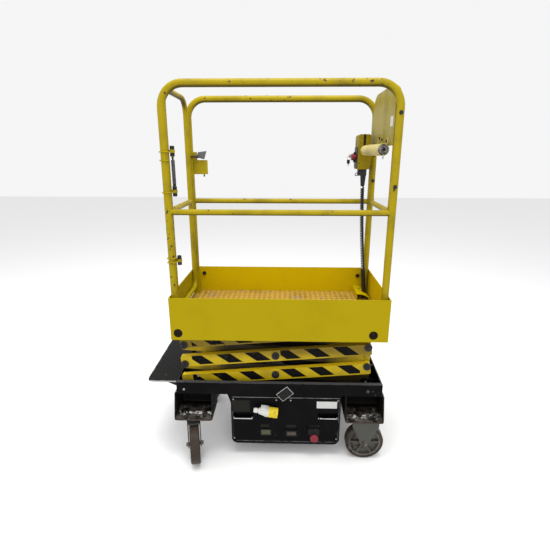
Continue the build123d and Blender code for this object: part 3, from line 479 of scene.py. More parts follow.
def tread_material(name, paint, raised, bare, pitch, chips, raised_part, edges=()):
    """Painted chequer plate, its raised bars rubbed to another colour, its edges to metal."""
    material, tree, shader = plain_material(name, paint, 0.5, specular=0.06)
    worn = worn_coat(tree, paint, bare, chips, 14.0, 0.5)
    bars = grouped(tree, tread_bars, Pitch=pitch).outputs["Height"]
    on_bars = math_of(tree, "MULTIPLY", bars, raised_part)
    colour = mixed(tree, on_bars, worn.outputs["Color"], (*raised, 1))
    colour = rubbed_edges(tree, colour, edges, (0.3, 0.3, 0.29, 1))
    finish_paint(tree, shader, colour, worn, 0.3)
    return material


bar_rise = 0.0012
bar_sunk = 0.0001             # how far a bar's foot is let into the plate
bar_space, bar_long, bar_wide = 0.3, 0.396, 0.12     # clearance and half sizes, for one pitch


def tread_field(mesh, low, high, top, pitch, corner=0.0):
    """Raised bars over a level field, turned one way and the other like the shader's.

    corner is the radius of the field's two corners at its low X.
    """
    reach = bar_space * pitch
    middle = top + bar_rise / 2 - bar_sunk
    bar = Matrix.Diagonal((bar_long * pitch, bar_wide * pitch, bar_rise + 2 * bar_sunk, 1))
    for i in range(int(low[0] / pitch) - 1, int(high[0] / pitch) + 1):
        for j in range(int(low[1] / pitch) - 1, int(high[1] / pitch) + 1):
            x, y = (i + 0.5) * pitch, (j + 0.5) * pitch
            within_x = low[0] + reach < x < high[0] - reach
            within_y = low[1] + reach < y < high[1] - reach
            off = (low[0] + corner - x, abs(y) - high[1] + corner)
            cut_off = min(off) > 0 and hypot(*off) > corner - reach
            if not (within_x and within_y) or cut_off:
                continue
            turn = Matrix.Rotation(radians(45 if (i + j) % 2 == 0 else -45), 4, "Z")
            bmesh.ops.create_cone(
                mesh,
                cap_ends=True,
                segments=12,
                radius1=1.0,
                radius2=0.62,
                depth=1.0,
                matrix=Matrix.Translation((x, y, middle)) @ turn @ bar,
            )


step_low, step_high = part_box("entry_step")
step_pitch = 0.024
step_corner = 0.035
step_paint = tread_material(
    "step_paint",
    (0.007, 0.0073, 0.0077),
    (0.026, 0.026, 0.026),
    (0.06, 0.056, 0.052),
    step_pitch,
    0.7,
    0.6,
    (
        ("X", step_low.x, 0.005, 0.42),
        ("Y", step_low.y, 0.006, 0.4),
        ("Y", step_high.y, 0.006, 0.4),
    ),
)
coat(step_paint, "entry_step")
mesh = bmesh.new()
tread_field(mesh, step_low, step_high, step_high.z, step_pitch, step_corner)
piece("step_tread", mesh, "chassis", step_paint)

# ---- castor brackets ----
# Welded steel boxes under the beams. Their shelves are scraped to brown steel with splashes
# of old white paint, and four bolts hold a castor's plate under each.
bracket_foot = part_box("castor_brackets")[0].z
# out from the machine's middle plane: where the painted shade under the beam gives way to scraped
# steel, and the splashes
scrape_from, scrape_all, splash_line = 0.15, 0.178, 0.24
bracket_paint, tree, shader = plain_material("bracket_paint", black, 0.5, specular=0.06)
height = axes_of(tree)
upward = ramp(tree, axes_of(tree, "Normal")[2], 0.5, 0.9)
scraped = ramp(tree, noise_of(tree, 24.0, 7.0), 0.4, 0.66)
splash_spots = ramp(tree, noise_of(tree, 46.0, 5.0, 0.6), 0.535, 0.575)
out_from_middle = math_of(tree, "ABSOLUTE", height[1])
off_line = math_of(tree, "ABSOLUTE", math_of(tree, "SUBTRACT", out_from_middle, splash_line))
splash = math_of(tree, "MULTIPLY", splash_spots, ramp(tree, off_line, 0.026, 0.008))
# painted shade: the shelves go black towards the machine's middle, under the beam
unshaded_part = ramp(tree, out_from_middle, scrape_from, scrape_all)
rust_colour = mixed(tree, scraped, (0.01, 0.0085, 0.0075, 1), (0.085, 0.076, 0.066, 1))
shelf_shade_and_wear = mixed(tree, unshaded_part, (0.005, 0.0045, 0.004, 1), rust_colour)
shelf_colour = mixed(tree, splash, shelf_shade_and_wear, (0.66, 0.65, 0.61, 1))
cheek = worn_coat(tree, (0.006, 0.006, 0.006), (0.04, 0.028, 0.022), 0.62, 40.0, 0.4)
low_cheek = ramp(tree, height[2], bracket_foot + 0.016, bracket_foot + 0.004)
cheek_colour = mixed(tree, low_cheek, cheek.outputs["Color"], (0.05, 0.037, 0.03, 1))
bracket_colour = mixed(tree, upward, cheek_colour, shelf_colour)
tree.links.new(bracket_colour, shader.inputs["Base Color"])
coat(bracket_paint, "castor_brackets")

shelf_nut = paint_material("shelf_nut", (0.06, 0.052, 0.044), (0.16, 0.15, 0.14), 0.6, 160.0, 0.6)
castor_x = 0.455
castor_y = 0.23
plate_holes = [(x, y) for x in (-0.0525, 0.0525) for y in (-0.04, 0.04)]
machine_middle = (chassis_low.x + chassis_high.x) / 2
shelf_top = bracket_foot + 0.008


def from_middle(x):
    """A place along the machine, given from the middle of the chassis."""
    return machine_middle + x


mesh = bmesh.new()
for x in (-castor_x, castor_x):
    for y in (-castor_y, castor_y):
        for hole_x, hole_y in plate_holes:
            spot = (from_middle(x + hole_x), y + hole_y, shelf_top)
            bolt(mesh, spot, (0, 0, 1), 0.016, 0.009, 0.0095)
piece("castor_nuts", mesh, "chassis", shelf_nut)

# ---- ground control panel ----
# A black steel cover over the batteries and charger, with a battery gauge, an hour meter and
# a red stop button. Its labels are blank.
panel_low, panel_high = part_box("control_panel")
panel_face = panel_low.y
label_thick = 0.0006
panel_paint = paint_material(
    "panel_paint",
    (0.0023, 0.0023, 0.0028),
    (0.05, 0.05, 0.05),
    0.72,
    55.0,
    0.2,
    (
        ("Z", panel_high.z, 0.0022, 0.42),
        ("Z", panel_low.z, 0.0022, 0.42),
        ("X", panel_low.x, 0.002, 0.5),
        ("X", panel_high.x, 0.002, 0.5),
    ),
    (0.16, 0.16, 0.16, 1),
    0.04,
)
coat(panel_paint, "control_panel")


def sheet_on(mesh, x0, x1, z0, z1, face, thick, turn=0.0):
    """A thin plate standing on the plane y = face, proud towards -Y, turned about its centre.

    x0 and x1 are from the middle of the chassis.
    """
    centre = (from_middle((x0 + x1) / 2), face - thick / 2, (z0 + z1) / 2)
    made = bmesh.ops.create_cube(mesh, size=1.0)["verts"]
    bmesh.ops.scale(mesh, vec=(x1 - x0, thick, z1 - z0), verts=made)
    bmesh.ops.rotate(mesh, cent=(0, 0, 0), matrix=Matrix.Rotation(turn, 3, "Y"), verts=made)
    bmesh.ops.translate(mesh, vec=centre, verts=made)


white_label = paint_material("white_label", (0.5, 0.5, 0.485), (0.42, 0.41, 0.39), 0.74, 20.0, 0.25)
dark_label = paint_material(
    "dark_label", (0.0095, 0.0092, 0.008), (0.022, 0.021, 0.018), 0.74, 20.0, 0.3, specular=0.08
)
mesh = bmesh.new()
sheet_on(mesh, 0.197, 0.302, 0.3, 0.34, panel_face, label_thick)
piece("blank_sticker", mesh, "chassis", white_label)
mesh = bmesh.new()
sheet_on(mesh, -0.243, -0.15, 0.272, 0.34, panel_face, label_thick)
for x0, x1 in ((-0.095, -0.05), (0.04, 0.09), (0.16, 0.208)):
    sheet_on(mesh, x0, x1, 0.18, 0.196, panel_face, label_thick)
piece("blank_labels", mesh, "chassis", dark_label)

screw_steel = paint_material(
    "screw_steel", (0.24, 0.23, 0.21), (0.1, 0.075, 0.055), 0.62, 120.0, 0.5, specular=0.5
)
screw_spots = (
    (-0.236, 0.345), (-0.236, 0.108), (0.306, 0.345), (0.306, 0.112), (-0.012, 0.344),
    (0.062, 0.344),
)
screw_dome = ((0, 0.0042), (0.0012, 0.004), (0.0022, 0.0024), (0.0024, 0))
mesh = bmesh.new()
for x, z in screw_spots:
    turned(mesh, (from_middle(x), panel_face, z), (0, -1, 0), screw_dome, 16)
piece("panel_screws", mesh, "chassis", screw_steel)

# the pressed slots have a turned-out lower lip that hands have rubbed bright
lip_steel = paint_material("lip_steel", (0.62, 0.62, 0.6), (0.05, 0.05, 0.05), 0.62, 90.0, 0.4)
lip_width = 0.098
lip_drop = 0.017              # from a slot's middle to its lower lip
lip_proud = panel_face - 0.0025
mesh = bmesh.new()
for x, z in ((-0.187, 0.247), (0.257, 0.254)):
    x0, x1 = from_middle(x - lip_width / 2), from_middle(x + lip_width / 2)
    low = z - lip_drop
    block(mesh, (x0, lip_proud, low - 0.0015), (x1, panel_face + 0.001, low + 0.002), 0.0008)
    for end in (x0, x1 - 0.002):
        block(mesh, (end, lip_proud, low), (end + 0.002, panel_face, low + 0.01), 0.0006)
piece("handle_lips", mesh, "chassis", lip_steel)

gauge_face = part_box("panel_gauges")[0].y
gauge_case = paint_material(
    "gauge_case", (0.006, 0.006, 0.0055), (0.02, 0.02, 0.018), 0.7, 60.0, 0.3, specular=0.15
)
coat(gauge_case, "panel_gauges")
for name, x0, x1, z0, z1, colour in (
    ("battery_window", -0.091, -0.043, 0.136, 0.164, (0.05, 0.056, 0.024)),
    ("hour_window", 0.045, 0.091, 0.134, 0.154, (0.055, 0.033, 0.025)),
):
    mesh = bmesh.new()
    sheet_on(mesh, x0, x1, z0, z1, gauge_face + 0.0013, 0.0008)
    darker = tuple(part * 0.6 for part in colour)
    window = paint_material(name, colour, darker, 0.62, 90.0, 0.5, specular=0.4)
    piece(name, mesh, "chassis", window)
gauge_screw = ((0, 0.0035), (0.0015, 0.0033), (0.002, 0))
mesh = bmesh.new()
for x, z in ((-0.108, 0.15), (-0.026, 0.15), (0.027, 0.144), (0.109, 0.144)):
    turned(mesh, (from_middle(x), panel_face, z), (0, -1, 0), gauge_screw, 14)
piece("gauge_screws", mesh, "chassis", gauge_case)

stop_low, stop_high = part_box("ground_stop_button")
stop_red = paint_material("stop_red", (0.18, 0.022, 0.032), (0.25, 0.08, 0.08), 0.66, 70.0, 0.4)
coat(stop_red, "ground_stop_button", "platform_stop_button")
stop_x = (stop_low.x + stop_high.x) / 2
mesh = bmesh.new()
guard_black = paint_material(
    "guard_black", (0.008, 0.008, 0.008), (0.03, 0.03, 0.028), 0.68, 70.0, 0.3, specular=0.1
)
guard_z = stop_high.z - 0.004
block(
    mesh,
    (stop_x - 0.033, panel_face - 0.016, guard_z),
    (stop_x + 0.027, panel_face, guard_z + 0.036),
    0.003,
)
piece("stop_guard", mesh, "chassis", guard_black)

# ---- blank plate on the beam ----
# A thin black plastic tag with a pale border. It is stuck askew over the beam and the cover's
# top edge, and has nothing on it.
tag_x, tag_z, tag_turn = 0.032, 0.382, radians(-40.5)
tag_width, tag_height = 0.072, 0.053
tag_thick = 0.0012
for name, border, face, thick, material in (
    ("tag_rim", 0.0, beam_face, tag_thick, white_label),
    ("tag_face", 0.0018, beam_face - tag_thick, 0.0004, gauge_case),
):
    half_x, half_z = tag_width / 2 - border, tag_height / 2 - border
    spread = (tag_x - half_x, tag_x + half_x, tag_z - half_z, tag_z + half_z)
    mesh = bmesh.new()
    sheet_on(mesh, *spread, face, thick, tag_turn)
    piece(name, mesh, "chassis", material)

# ---- charging plug ----
# An industrial three-pin plug of grey moulded plastic with a yellow collar round its mouth.
# It hangs tipped on the cover's end, with the mouth a little lower than the cable end.
plug_low, plug_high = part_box("charger_plug")
plug_middle = (plug_low + plug_high) / 2
plug_r = (plug_high.z - plug_low.z) / 2
plug_mouth = (plug_high.x, plug_middle.y, plug_middle.z)
plug_tip = Matrix.Rotation(radians(7.4), 4, "Y")
plug_grey = paint_material("plug_grey", (0.52, 0.52, 0.49), (0.16, 0.15, 0.14), 0.6, 60.0, 0.6)
plug_yellow = paint_material(
    "plug_yellow", (0.66, 0.5, 0.02), (0.25, 0.2, 0.05), 0.62, 60.0, 0.5
)
collar_profile = (
    (0.006, 0), (0.006, plug_r - 0.006), (0.001, plug_r - 0.005), (0.0, plug_r - 0.003),
    (0.001, plug_r), (0.046, plug_r), (0.048, plug_r - 0.002), (0.048, 0),
)
body_profile = (
    (0.047, 0), (0.047, plug_r - 0.001), (0.056, plug_r), (0.064, plug_r - 0.001),
    (0.078, plug_r - 0.006), (0.094, 0.0165), (0.099, 0.015), (0.1, 0.011), (0.104, 0.0105),
    (0.106, 0.0125), (0.12, 0.0125), (0.125, 0.0095), (0.126, 0),
)
mesh = bmesh.new()
turned(mesh, plug_mouth, (-1, 0, 0), collar_profile, 40)
collar = piece("plug_collar", mesh, "chassis", plug_yellow)
mesh = bmesh.new()
turned(mesh, plug_mouth, (-1, 0, 0), body_profile, 40)
block(
    mesh,
    (plug_high.x - 0.09, plug_middle.y - 0.018, plug_middle.z + plug_r - 0.012),
    (plug_high.x - 0.05, plug_middle.y + 0.018, plug_high.z),
    0.003,
)
plug_body = piece("plug_body", mesh, "chassis", plug_grey)
for part in (collar, plug_body):
    part.data.transform(
        Matrix.Translation(plug_middle) @ plug_tip @ Matrix.Translation(-plug_middle)
    )
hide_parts("charger_plug")

# ---- castors ----
# Pressed and zinc-plated forks. The solid tyres are brown-grey rubber, bonded to ribbed grey
# hubs, and an axle bolt with a nut goes through each fork.
zinc = paint_material(
    "zinc", (0.052, 0.054, 0.046), (0.05, 0.04, 0.03), 0.68, 45.0, 0.8, specular=0.25
)
coat(zinc, "fixed_castor_forks", "swivel_castor_plates", "swivel_fork_near", "swivel_fork_far")
tyre_rubber = paint_material(
    "tyre_rubber", (0.044, 0.032, 0.025), (0.022, 0.018, 0.015), 0.6, 30.0, 0.7, specular=0.1
)
hub_grey = paint_material(
    "hub_grey", (0.07, 0.067, 0.058), (0.022, 0.02, 0.017), 0.62, 40.0, 0.8, specular=0.2
)
rim_grey = paint_material("rim_grey", (0.15, 0.145, 0.13), (0.06, 0.035, 0.025), 0.58, 60.0, 0.7)
swivel_x = from_middle(-castor_x)
fork_half = 0.034
hub_half = 0.0212
rim_r = 0.0835
rim_profile = (
    (0, rim_r - 0.003), (0.0022, rim_r - 0.001), (0.0022, rim_r + 0.001), (0, rim_r + 0.002),
)
for side, side_y in (("near", -1), ("far", 1)):
    for end in ("left", "right"):
        coat(tyre_rubber, f"tyre_{end}_{side}")
        coat(hub_grey, f"hub_{end}_{side}")
        tyre_low, tyre_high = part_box(f"tyre_{end}_{side}")
        centre = (tyre_low + tyre_high) / 2
        if end == "left":
            out = Vector((centre.x - swivel_x, centre.y - side_y * castor_y, 0)).normalized()
            axle = out.cross(Vector((0, 0, 1)))
        else:
            axle = Vector((0, 1, 0))
        body = f"swivel_{side}" if end == "left" else "chassis"
        mesh = bmesh.new()
        for way in (-1, 1):
            bolt(mesh, centre + axle * way * fork_half, axle * way, 0.019, 0.01, 0.014)
        piece(f"axle_bolt_{end}_{side}", mesh, body, rim_grey)
        mesh = bmesh.new()
        for way in (-1, 1):
            turned(mesh, centre + axle * way * hub_half, axle * way, rim_profile, 64)
        piece(f"hub_rim_{end}_{side}", mesh, f"wheel_{end}_{side}", rim_grey)

# ---- scissor arms ----
# Six pairs of yellow box-section arms. The outer ones carry slanting black tape blocks, and
# every pin ends in a black cap held by a socket screw.
arm_yellow = paint_material(
    "arm_yellow", (0.44, 0.315, 0.007), (0.03, 0.022, 0.015), 0.68, 45.0, 0.55, specular=0.12
)
# their upward faces are painted a brighter yellow as a painted highlight, and higher up, under the
# platform, they are painted brown as painted shade
tree = arm_yellow.node_tree
overlay(tree, ramp(tree, axes_of(tree, "Normal")[2], 0.5, 0.9), (0.8, 0.56, 0.01, 1))
# painted shade of the platform over the upper arms, darker towards the top
platform_shade_mask = math_of(tree, "MULTIPLY", ramp(tree, axes_of(tree)[2], 0.545, 0.61), 0.72)
overlay(tree, platform_shade_mask, (0.085, 0.055, 0.01, 1))
levels = (1, 2, 3)
coat(arm_yellow, *(f"outer_arms_{level}" for level in levels))

# the inner arms are painted near-black as painted shade, apart from their ends above the foot,
# which keep a worn yellow paint
inner_paint, tree, shader = plain_material("inner_paint", (0.02, 0.016, 0.008), 0.45, 0.15)
along_arm = axes_of(tree)
from_pin = math_of(tree, "ABSOLUTE", math_of(tree, "SUBTRACT", along_arm[0], from_middle(-0.018)))
pin_reach_with_noise = math_of(tree, "MULTIPLY_ADD", noise_of(tree, 11.0, 5.0), 0.12, from_pin)
above_foot = ramp(tree, along_arm[2], 0.44, 0.5)
# painted shade everywhere but the ends, which show the yellow paint
unshaded_end = math_of(tree, "MULTIPLY", ramp(tree, pin_reach_with_noise, 0.3, 0.5), above_foot)
end_paint = worn_coat(tree, (0.4, 0.285, 0.006), (0.03, 0.022, 0.015), 0.66, 45.0, 0.7)
arm_colour = mixed(tree, unshaded_end, (0.02, 0.015, 0.005, 1), end_paint.outputs["Color"])
tree.links.new(arm_colour, shader.inputs["Base Color"])
coat(inner_paint, *(f"inner_arms_{level}" for level in levels))
pin_black = paint_material(
    "pin_black", (0.008, 0.008, 0.009), (0.05, 0.045, 0.04), 0.64, 90.0, 0.3, specular=0.25
)
coat(pin_black, "pivot_pins_1", "pivot_pins_2", "pivot_pins_3", "base_pivot_pins")
tape_black = paint_material(
    "tape_black", (0.004, 0.0038, 0.0036), (0.02, 0.017, 0.012), 0.6, 50.0, 0.2, specular=0.04
)
arm_face = 0.2
cap_face = 0.206
arm_length = 0.946
arm_lean = radians(6.4945)
beam_lean = atan2(-0.028, arm_length)
first_pin = 0.412
level_rise = 0.107
fixed_pin_x = from_middle(0.452)
arm_run = arm_length * cos(arm_lean)
tape_width, tape_slant, tape_top, tape_foot = 0.074, 0.062, 0.0285, -0.0225
# where each block stands, from the arm's centre pin, and the ends that cut it off
tape_blocks = {
    1: (-0.421, -0.2665, -0.1215, 0.0936, 0.239, 0.3875),
    2: (-0.388, -0.2385, -0.0925, 0.0625, 0.213, 0.36),
    3: (-0.47, -0.327, -0.184, 0.0625, 0.213, 0.36),
}
tape_clear = 0.026            # bare ring round the centre pin's cap
tape_ends = (-0.4325, 0.4367)
tape_gap, tape_thick = 0.0001, 0.0004
cap_screw = (
    (0, 0), (0, 0.0125), (0.0015, 0.0125), (0.0025, 0.0085), (0.0065, 0.008), (0.0075, 0.006),
    (0.0045, 0.0045), (0.0045, 0),
)


def cut_at(outline, limit, way):
    """The part of a flat outline on one side of a line across the arm."""
    kept = []
    for (s0, t0), (s1, t1) in zip(outline, outline[1:] + outline[:1]):
        in0, in1 = way * (s0 - limit) >= 0, way * (s1 - limit) >= 0
        if in0:
            kept.append((s0, t0))
        if in0 != in1:
            part = (limit - s0) / (s1 - s0)
            kept.append((limit, t0 + (t1 - t0) * part))
    return kept


def turned_pair(mesh, x, y, z, profile, steps):
    """The same turned shape on both sides of the machine, along -Y and +Y."""
    for side in (-1, 1):
        turned(mesh, (x, side * y, z), (0, side, 0), profile, steps)


def side_plate(mesh, corners, side, thick):
    """A flat plate between corners, thickened away from the machine's middle plane."""
    face = mesh.faces.new([mesh.verts.new(corner) for corner in corners])
    raised = bmesh.ops.extrude_face_region(mesh, geom=[face])["geom"]
    lifted = [part for part in raised if isinstance(part, bmesh.types.BMVert)]
    bmesh.ops.translate(mesh, vec=(0, side * thick, 0), verts=lifted)


for level in levels:
    low_z, high_z = first_pin + level_rise * (level - 1), first_pin + level_rise * level
    beam_middle = Vector((fixed_pin_x - arm_run / 2, 0, (low_z + high_z) / 2))
    lean = arm_lean + beam_lean
    along = Vector((cos(lean), 0, sin(lean)))
    up = Vector((-sin(lean), 0, cos(lean)))
    mesh = bmesh.new()
    for block_at in tape_blocks[level]:
        lead_in = block_at - (tape_width + tape_slant) / 2
        outline = [
            (lead_in, tape_top),
            (lead_in + tape_width, tape_top),
            (lead_in + tape_width + tape_slant, tape_foot),
            (lead_in + tape_slant, tape_foot),
        ]
        left, right = (tape_clear, tape_ends[1]) if block_at > 0 else (tape_ends[0], -tape_clear)
        outline = cut_at(cut_at(outline, left, 1), right, -1)
        for side in (-1, 1):
            stand = beam_middle + Vector((0, side * (arm_face + tape_gap), 0))
            side_plate(mesh, [stand + along * s + up * t for s, t in outline], side, tape_thick)
    piece(f"tape_blocks_{level}", mesh, f"arms_outer_{level}", tape_black)
    # socket screws in the pin caps
    caps = [(beam_middle.x, beam_middle.z)]
    if level < 3:
        caps.append((fixed_pin_x, high_z))
    if level > 1:
        caps.append((fixed_pin_x - arm_run, low_z))
    mesh = bmesh.new()
    for x, z in caps:
        turned_pair(mesh, x, cap_face, z, cap_screw, 24)
    piece(f"cap_screws_{level}", mesh, f"arms_outer_{level}", pin_black)
mesh = bmesh.new()
bolt_pair(mesh, from_middle(-0.4214), arm_face + 0.0003, 0.4535, 1, 0.011, 0.005, 0.007)
piece("arm_bolt", mesh, "arms_outer_1", screw_steel)
# small bare-steel plates keep the lowest inner arms' pins from turning
keeper_face, keeper_thick = 0.1825, 0.004
keeper_corners = ((-0.011, -0.022), (0.022, -0.022), (0.002, 0.018))
mesh = bmesh.new()
for side in (-1, 1):
    corners = [
        (fixed_pin_x + x, side * keeper_face, first_pin + z) for x, z in keeper_corners
    ]
    side_plate(mesh, corners, side, keeper_thick)
piece("pin_keepers", mesh, "chassis", rim_grey)
roller_steel = paint_material(
    "roller_steel", (0.2, 0.2, 0.195), (0.07, 0.055, 0.045), 0.62, 50.0, 0.6, specular=0.5
)
coat(roller_steel, "base_rollers", "platform_rollers", "cylinder_rod")

# ---- lift cylinder ----
# A steel oil cylinder in the chassis's black paint, with a ground rod. It lies between lugs on
# the chassis and a cross tube of the lowest inner arms.
coat(chassis_paint, "cylinder_barrel")

# ---- platform floor and toe boards ----
# Folded steel boards in mustard-yellow paint round a chequer-plate floor that boots have
# rubbed to a brownish beige.
primer_brown = (0.045, 0.03, 0.018)
board_yellow = paint_material(
    "board_yellow", (0.46, 0.33, 0.0008), primer_brown, 0.7, 28.0, 0.25, specular=0.06
)
coat(board_yellow, "lead_guard", "platform_underframe")
board_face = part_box("toe_boards")[1].y
board_inside = board_face - 0.003
# the boards' outer faces are painted a deeper yellow as painted shade, and their inner faces the
# lit yellow
board_shaded_outside, tree, shader = plain_material("board_shaded_outside", (0.315, 0.236, 0.0008), 0.45, 0.06)
off_middle = math_of(tree, "ABSOLUTE", axes_of(tree)[1])
# painted shade on the boards' outer faces
outer_face_shade = ramp(tree, off_middle, board_face - 0.0024, board_face - 0.0006)
lit_and_shaded_coats = [
    worn_coat(tree, paint, primer_brown, 0.7, 28.0, 0.1)
    for paint in ((0.5, 0.35, 0.0008), (0.315, 0.236, 0.0005))
]
board_colour = mixed(tree, outer_face_shade, *(worn.outputs["Color"] for worn in lit_and_shaded_coats))
tree.links.new(board_colour, shader.inputs["Base Color"])
tree.links.new(lit_and_shaded_coats[0].outputs["Roughness"], shader.inputs["Roughness"])
coat(board_shaded_outside, "toe_boards")
floor_pitch = 0.03
floor_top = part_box("platform_floor")[1].z
floor_paint = tread_material(
    "floor_paint",
    (0.34, 0.2, 0.026),
    (0.6, 0.42, 0.15),
    (0.26, 0.17, 0.085),
    floor_pitch,
    0.6,
    0.85,
)
coat(floor_paint, "platform_floor")
tread_low, tread_high = (from_middle(-0.505), -0.214), (from_middle(0.425), 0.214)
mesh = bmesh.new()
tread_field(mesh, tread_low, tread_high, floor_top, floor_pitch)
piece("floor_tread", mesh, "platform", floor_paint)
mesh = bmesh.new()
for x, z in ((-0.4657, 0.8702), (0.465, 0.862)):
    bolt_pair(mesh, from_middle(x), board_inside, z, -1, 0.017, 0.008, 0.012)
piece("board_bolts", mesh, "platform", pin_black)

# push-in rubber plugs close the boards' access holes
hole_plug = (
    (-0.002, 0), (-0.002, 0.017), (-0.001, 0.0198), (0.003, 0.0198), (0.0031, 0.0215),
    (0.0042, 0.021), (0.0046, 0.012), (0.003, 0.0105), (0.003, 0),
)
hole_z = first_pin + level_rise * len(levels)
mesh = bmesh.new()
for x in (fixed_pin_x - arm_run, fixed_pin_x):
    turned_pair(mesh, x, board_inside, hole_z, hole_plug, 36)
plug_rubber = paint_material(
    "plug_rubber", (0.0075, 0.005, 0.003), (0.05, 0.032, 0.02), 0.62, 120.0, 0.6, specular=0.06
)
piece("hole_plugs", mesh, "platform", plug_rubber)

# ---- guard rails and gate ----
# Bent steel tubes, painted mustard yellow, and chipped and stained all over. Black bolts hold
# the control end's loop to the posts, and tongues on capped pins hold the gate.
rail_paint = paint_material("rail_paint", (0.29, 0.218, 0.0008), primer_brown, 0.655, 38.0, 0.55)
# the tubes' undersides are painted darker brown, partly dirt and partly painted shade
tree = rail_paint.node_tree
underside_dirt_and_shade = math_of(tree, "MULTIPLY", ramp(tree, axes_of(tree, "Normal")[2], -0.25, -0.8), 0.85)
overlay(tree, underside_dirt_and_shade, (0.03, 0.019, 0.003, 1))
coat(rail_paint, "near_hoop", "far_hoop", "end_frame")
coat(rail_paint, "gate_frame", "gate_lugs", "gate_hinges", "gate_latch")
lever_steel = paint_material(
    "lever_steel", (0.085, 0.085, 0.088), (0.03, 0.022, 0.016), 0.6, 80.0, 0.6, specular=0.5
)
post_outside = 0.246 + 0.0165                # a tube's middle and its radius
loop_inside = 0.2155 - 0.0132
bolt_x = from_middle(0.502)
mesh = bmesh.new()
for side in (-1, 1):
    for z in (1.7285, 1.4264):
        bolt(mesh, (bolt_x, side * post_outside, z), (0, side, 0), 0.014, 0.006, 0.009)
        bolt(mesh, (bolt_x, side * loop_inside, z), (0, -side, 0), 0.014, 0.006, 0.009)
piece("post_bolts", mesh, "platform", pin_black)

# rubber caps on the gate's hinge pins, and the steel tongues that wrap the near post
closer_low, closer_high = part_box("gate_closer")
hinge_x, hinge_y = (closer_low.x + closer_high.x) / 2, (closer_low.y + closer_high.y) / 2
hinge_cap = (
    (0, 0), (0, 0.0085), (0.0015, 0.01), (0.0145, 0.01), (0.016, 0.0085), (0.016, 0),
)
mesh = bmesh.new()
for z in (1.582, 1.553, 1.409, 1.38, 1.089, 1.06):
    turned(mesh, (hinge_x, hinge_y, z), (0, 0, 1), hinge_cap, 20)
piece("hinge_caps", mesh, "platform", pin_black)
near_post_x = from_middle(-0.50215)
tongue_half = 0.0028
mesh = bmesh.new()
for z in (1.572, 1.5365, 1.399, 1.099, 1.079):
    block(
        mesh,
        (near_post_x - 0.0182, -0.2668, z - tongue_half),
        (near_post_x + 0.0215, -0.244, z + tongue_half),
        0.0012,
    )
piece("hinge_tongues", mesh, "platform", rail_paint)

# a thin black rod in a grey coil spring pulls the gate shut
spring_low, spring_high = 1.434, 1.538
closer_length = closer_high.z - closer_low.z
closer_profile = (
    (0, 0), (0, 0.0075), (0.008, 0.0075), (0.009, 0.0042), (closer_length - 0.004, 0.0042),
    (closer_length - 0.003, 0.0065), (closer_length, 0.0065), (closer_length, 0),
)
mesh = bmesh.new()
turned(mesh, (hinge_x, hinge_y, closer_low.z), (0, 0, 1), closer_profile, 20)
closer_rod = piece("closer_rod", mesh, "platform", pin_black)
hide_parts("gate_closer")
spring_steel = paint_material(
    "spring_steel", (0.06, 0.06, 0.062), (0.035, 0.028, 0.022), 0.6, 90.0, 0.6, specular=0.4
)
spring_r, spring_pitch, spring_wire, spring_points = 0.0076, 0.003, 0.0026, 10
spring_steps = int((spring_high - spring_low) / spring_pitch) * spring_points
spring_coil = []
for step in range(spring_steps + 1):
    turn = 2 * pi * step / spring_points
    z = spring_low + (spring_high - spring_low) * step / spring_steps
    spring_coil.append((hinge_x + spring_r * cos(turn), hinge_y + spring_r * sin(turn), z))
spring_line = nurbs_line("closer_spring", spring_coil, spring_wire / 2)
spring_line.data.materials.append(spring_steel)
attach(spring_line, "platform")

# the latch: a worn steel blade, its rusty slide bar across the post and a pin under the plate
blade_low, blade_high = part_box("latch_lever")
blade_corners = ((-0.469, 1.548), (-0.456, 1.576), (-0.409, 1.582), (-0.424, 1.538))
blade_pivot = ((0, 0), (0, 0.0055), (0.009, 0.0055), (0.01, 0.004), (0.01, 0))
blade_y = blade_low.y + 0.002
mesh = bmesh.new()
mesh.faces.new([mesh.verts.new((from_middle(x), blade_y, z)) for x, z in blade_corners])
bmesh.ops.solidify(mesh, geom=mesh.faces, thickness=0.004)
bevelled(mesh, mesh.verts, 0.0012, 2)
pivot_spot = (from_middle(-0.435), blade_high.y + 0.001, 1.552)
turned(mesh, pivot_spot, (0, -1, 0), blade_pivot, 18)
blade_piece = piece("latch_blade", mesh, "platform", lever_steel)
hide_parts("latch_lever")
slide_ends = (from_middle(-0.5115), from_middle(-0.468), from_middle(-0.456))
latch_pin = ((0, 0), (0, 0.003), (0.001, 0.0038), (0.014, 0.0038), (0.014, 0))
mesh = bmesh.new()
block(mesh, (slide_ends[0], 0.2255, 1.546), (slide_ends[2], 0.2295, 1.556), 0.0012)
block(mesh, (slide_ends[1], 0.229, 1.544), (slide_ends[2], 0.243, 1.558), 0.0012)
turned(mesh, (from_middle(-0.43), 0.246, 1.4445), (0, 0, 1), latch_pin, 14)
piece("latch_slide", mesh, "platform", dull_bolt)

# ---- control end ----
# A sheet-steel box with a black face, a red stop button and a key, a plate with no lettering,
# and a cream plastic tube that holds rolled papers.
plate_paint = paint_material(
    "plate_paint", (0.27, 0.218, 0.034), (0.1, 0.08, 0.03), 0.71, 40.0, 0.5, specular=0.06
)
coat(plate_paint, "instruction_plate")
box_yellow = paint_material(
    "box_yellow", (0.215, 0.155, 0.0015), primer_brown, 0.66, 60.0, 0.6, specular=0.08
)
coat(box_yellow, "control_box")
coat(guard_black, "control_face")
tube_cream = paint_material("tube_cream", (0.44, 0.37, 0.12), (0.22, 0.17, 0.08), 0.63, 50.0, 0.8)
coat(tube_cream, "document_tube")
box_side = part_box("control_box")[0].y
mesh = bmesh.new()
sheet_on(mesh, 0.427, 0.439, 1.6, 1.6642, box_side, 0.001)
piece("box_strip", mesh, "platform", guard_black)
plate_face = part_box("instruction_plate")[0].x
mesh = bmesh.new()
block(mesh, (plate_face - label_thick, -0.205, 1.68), (plate_face, -0.16, 1.722))
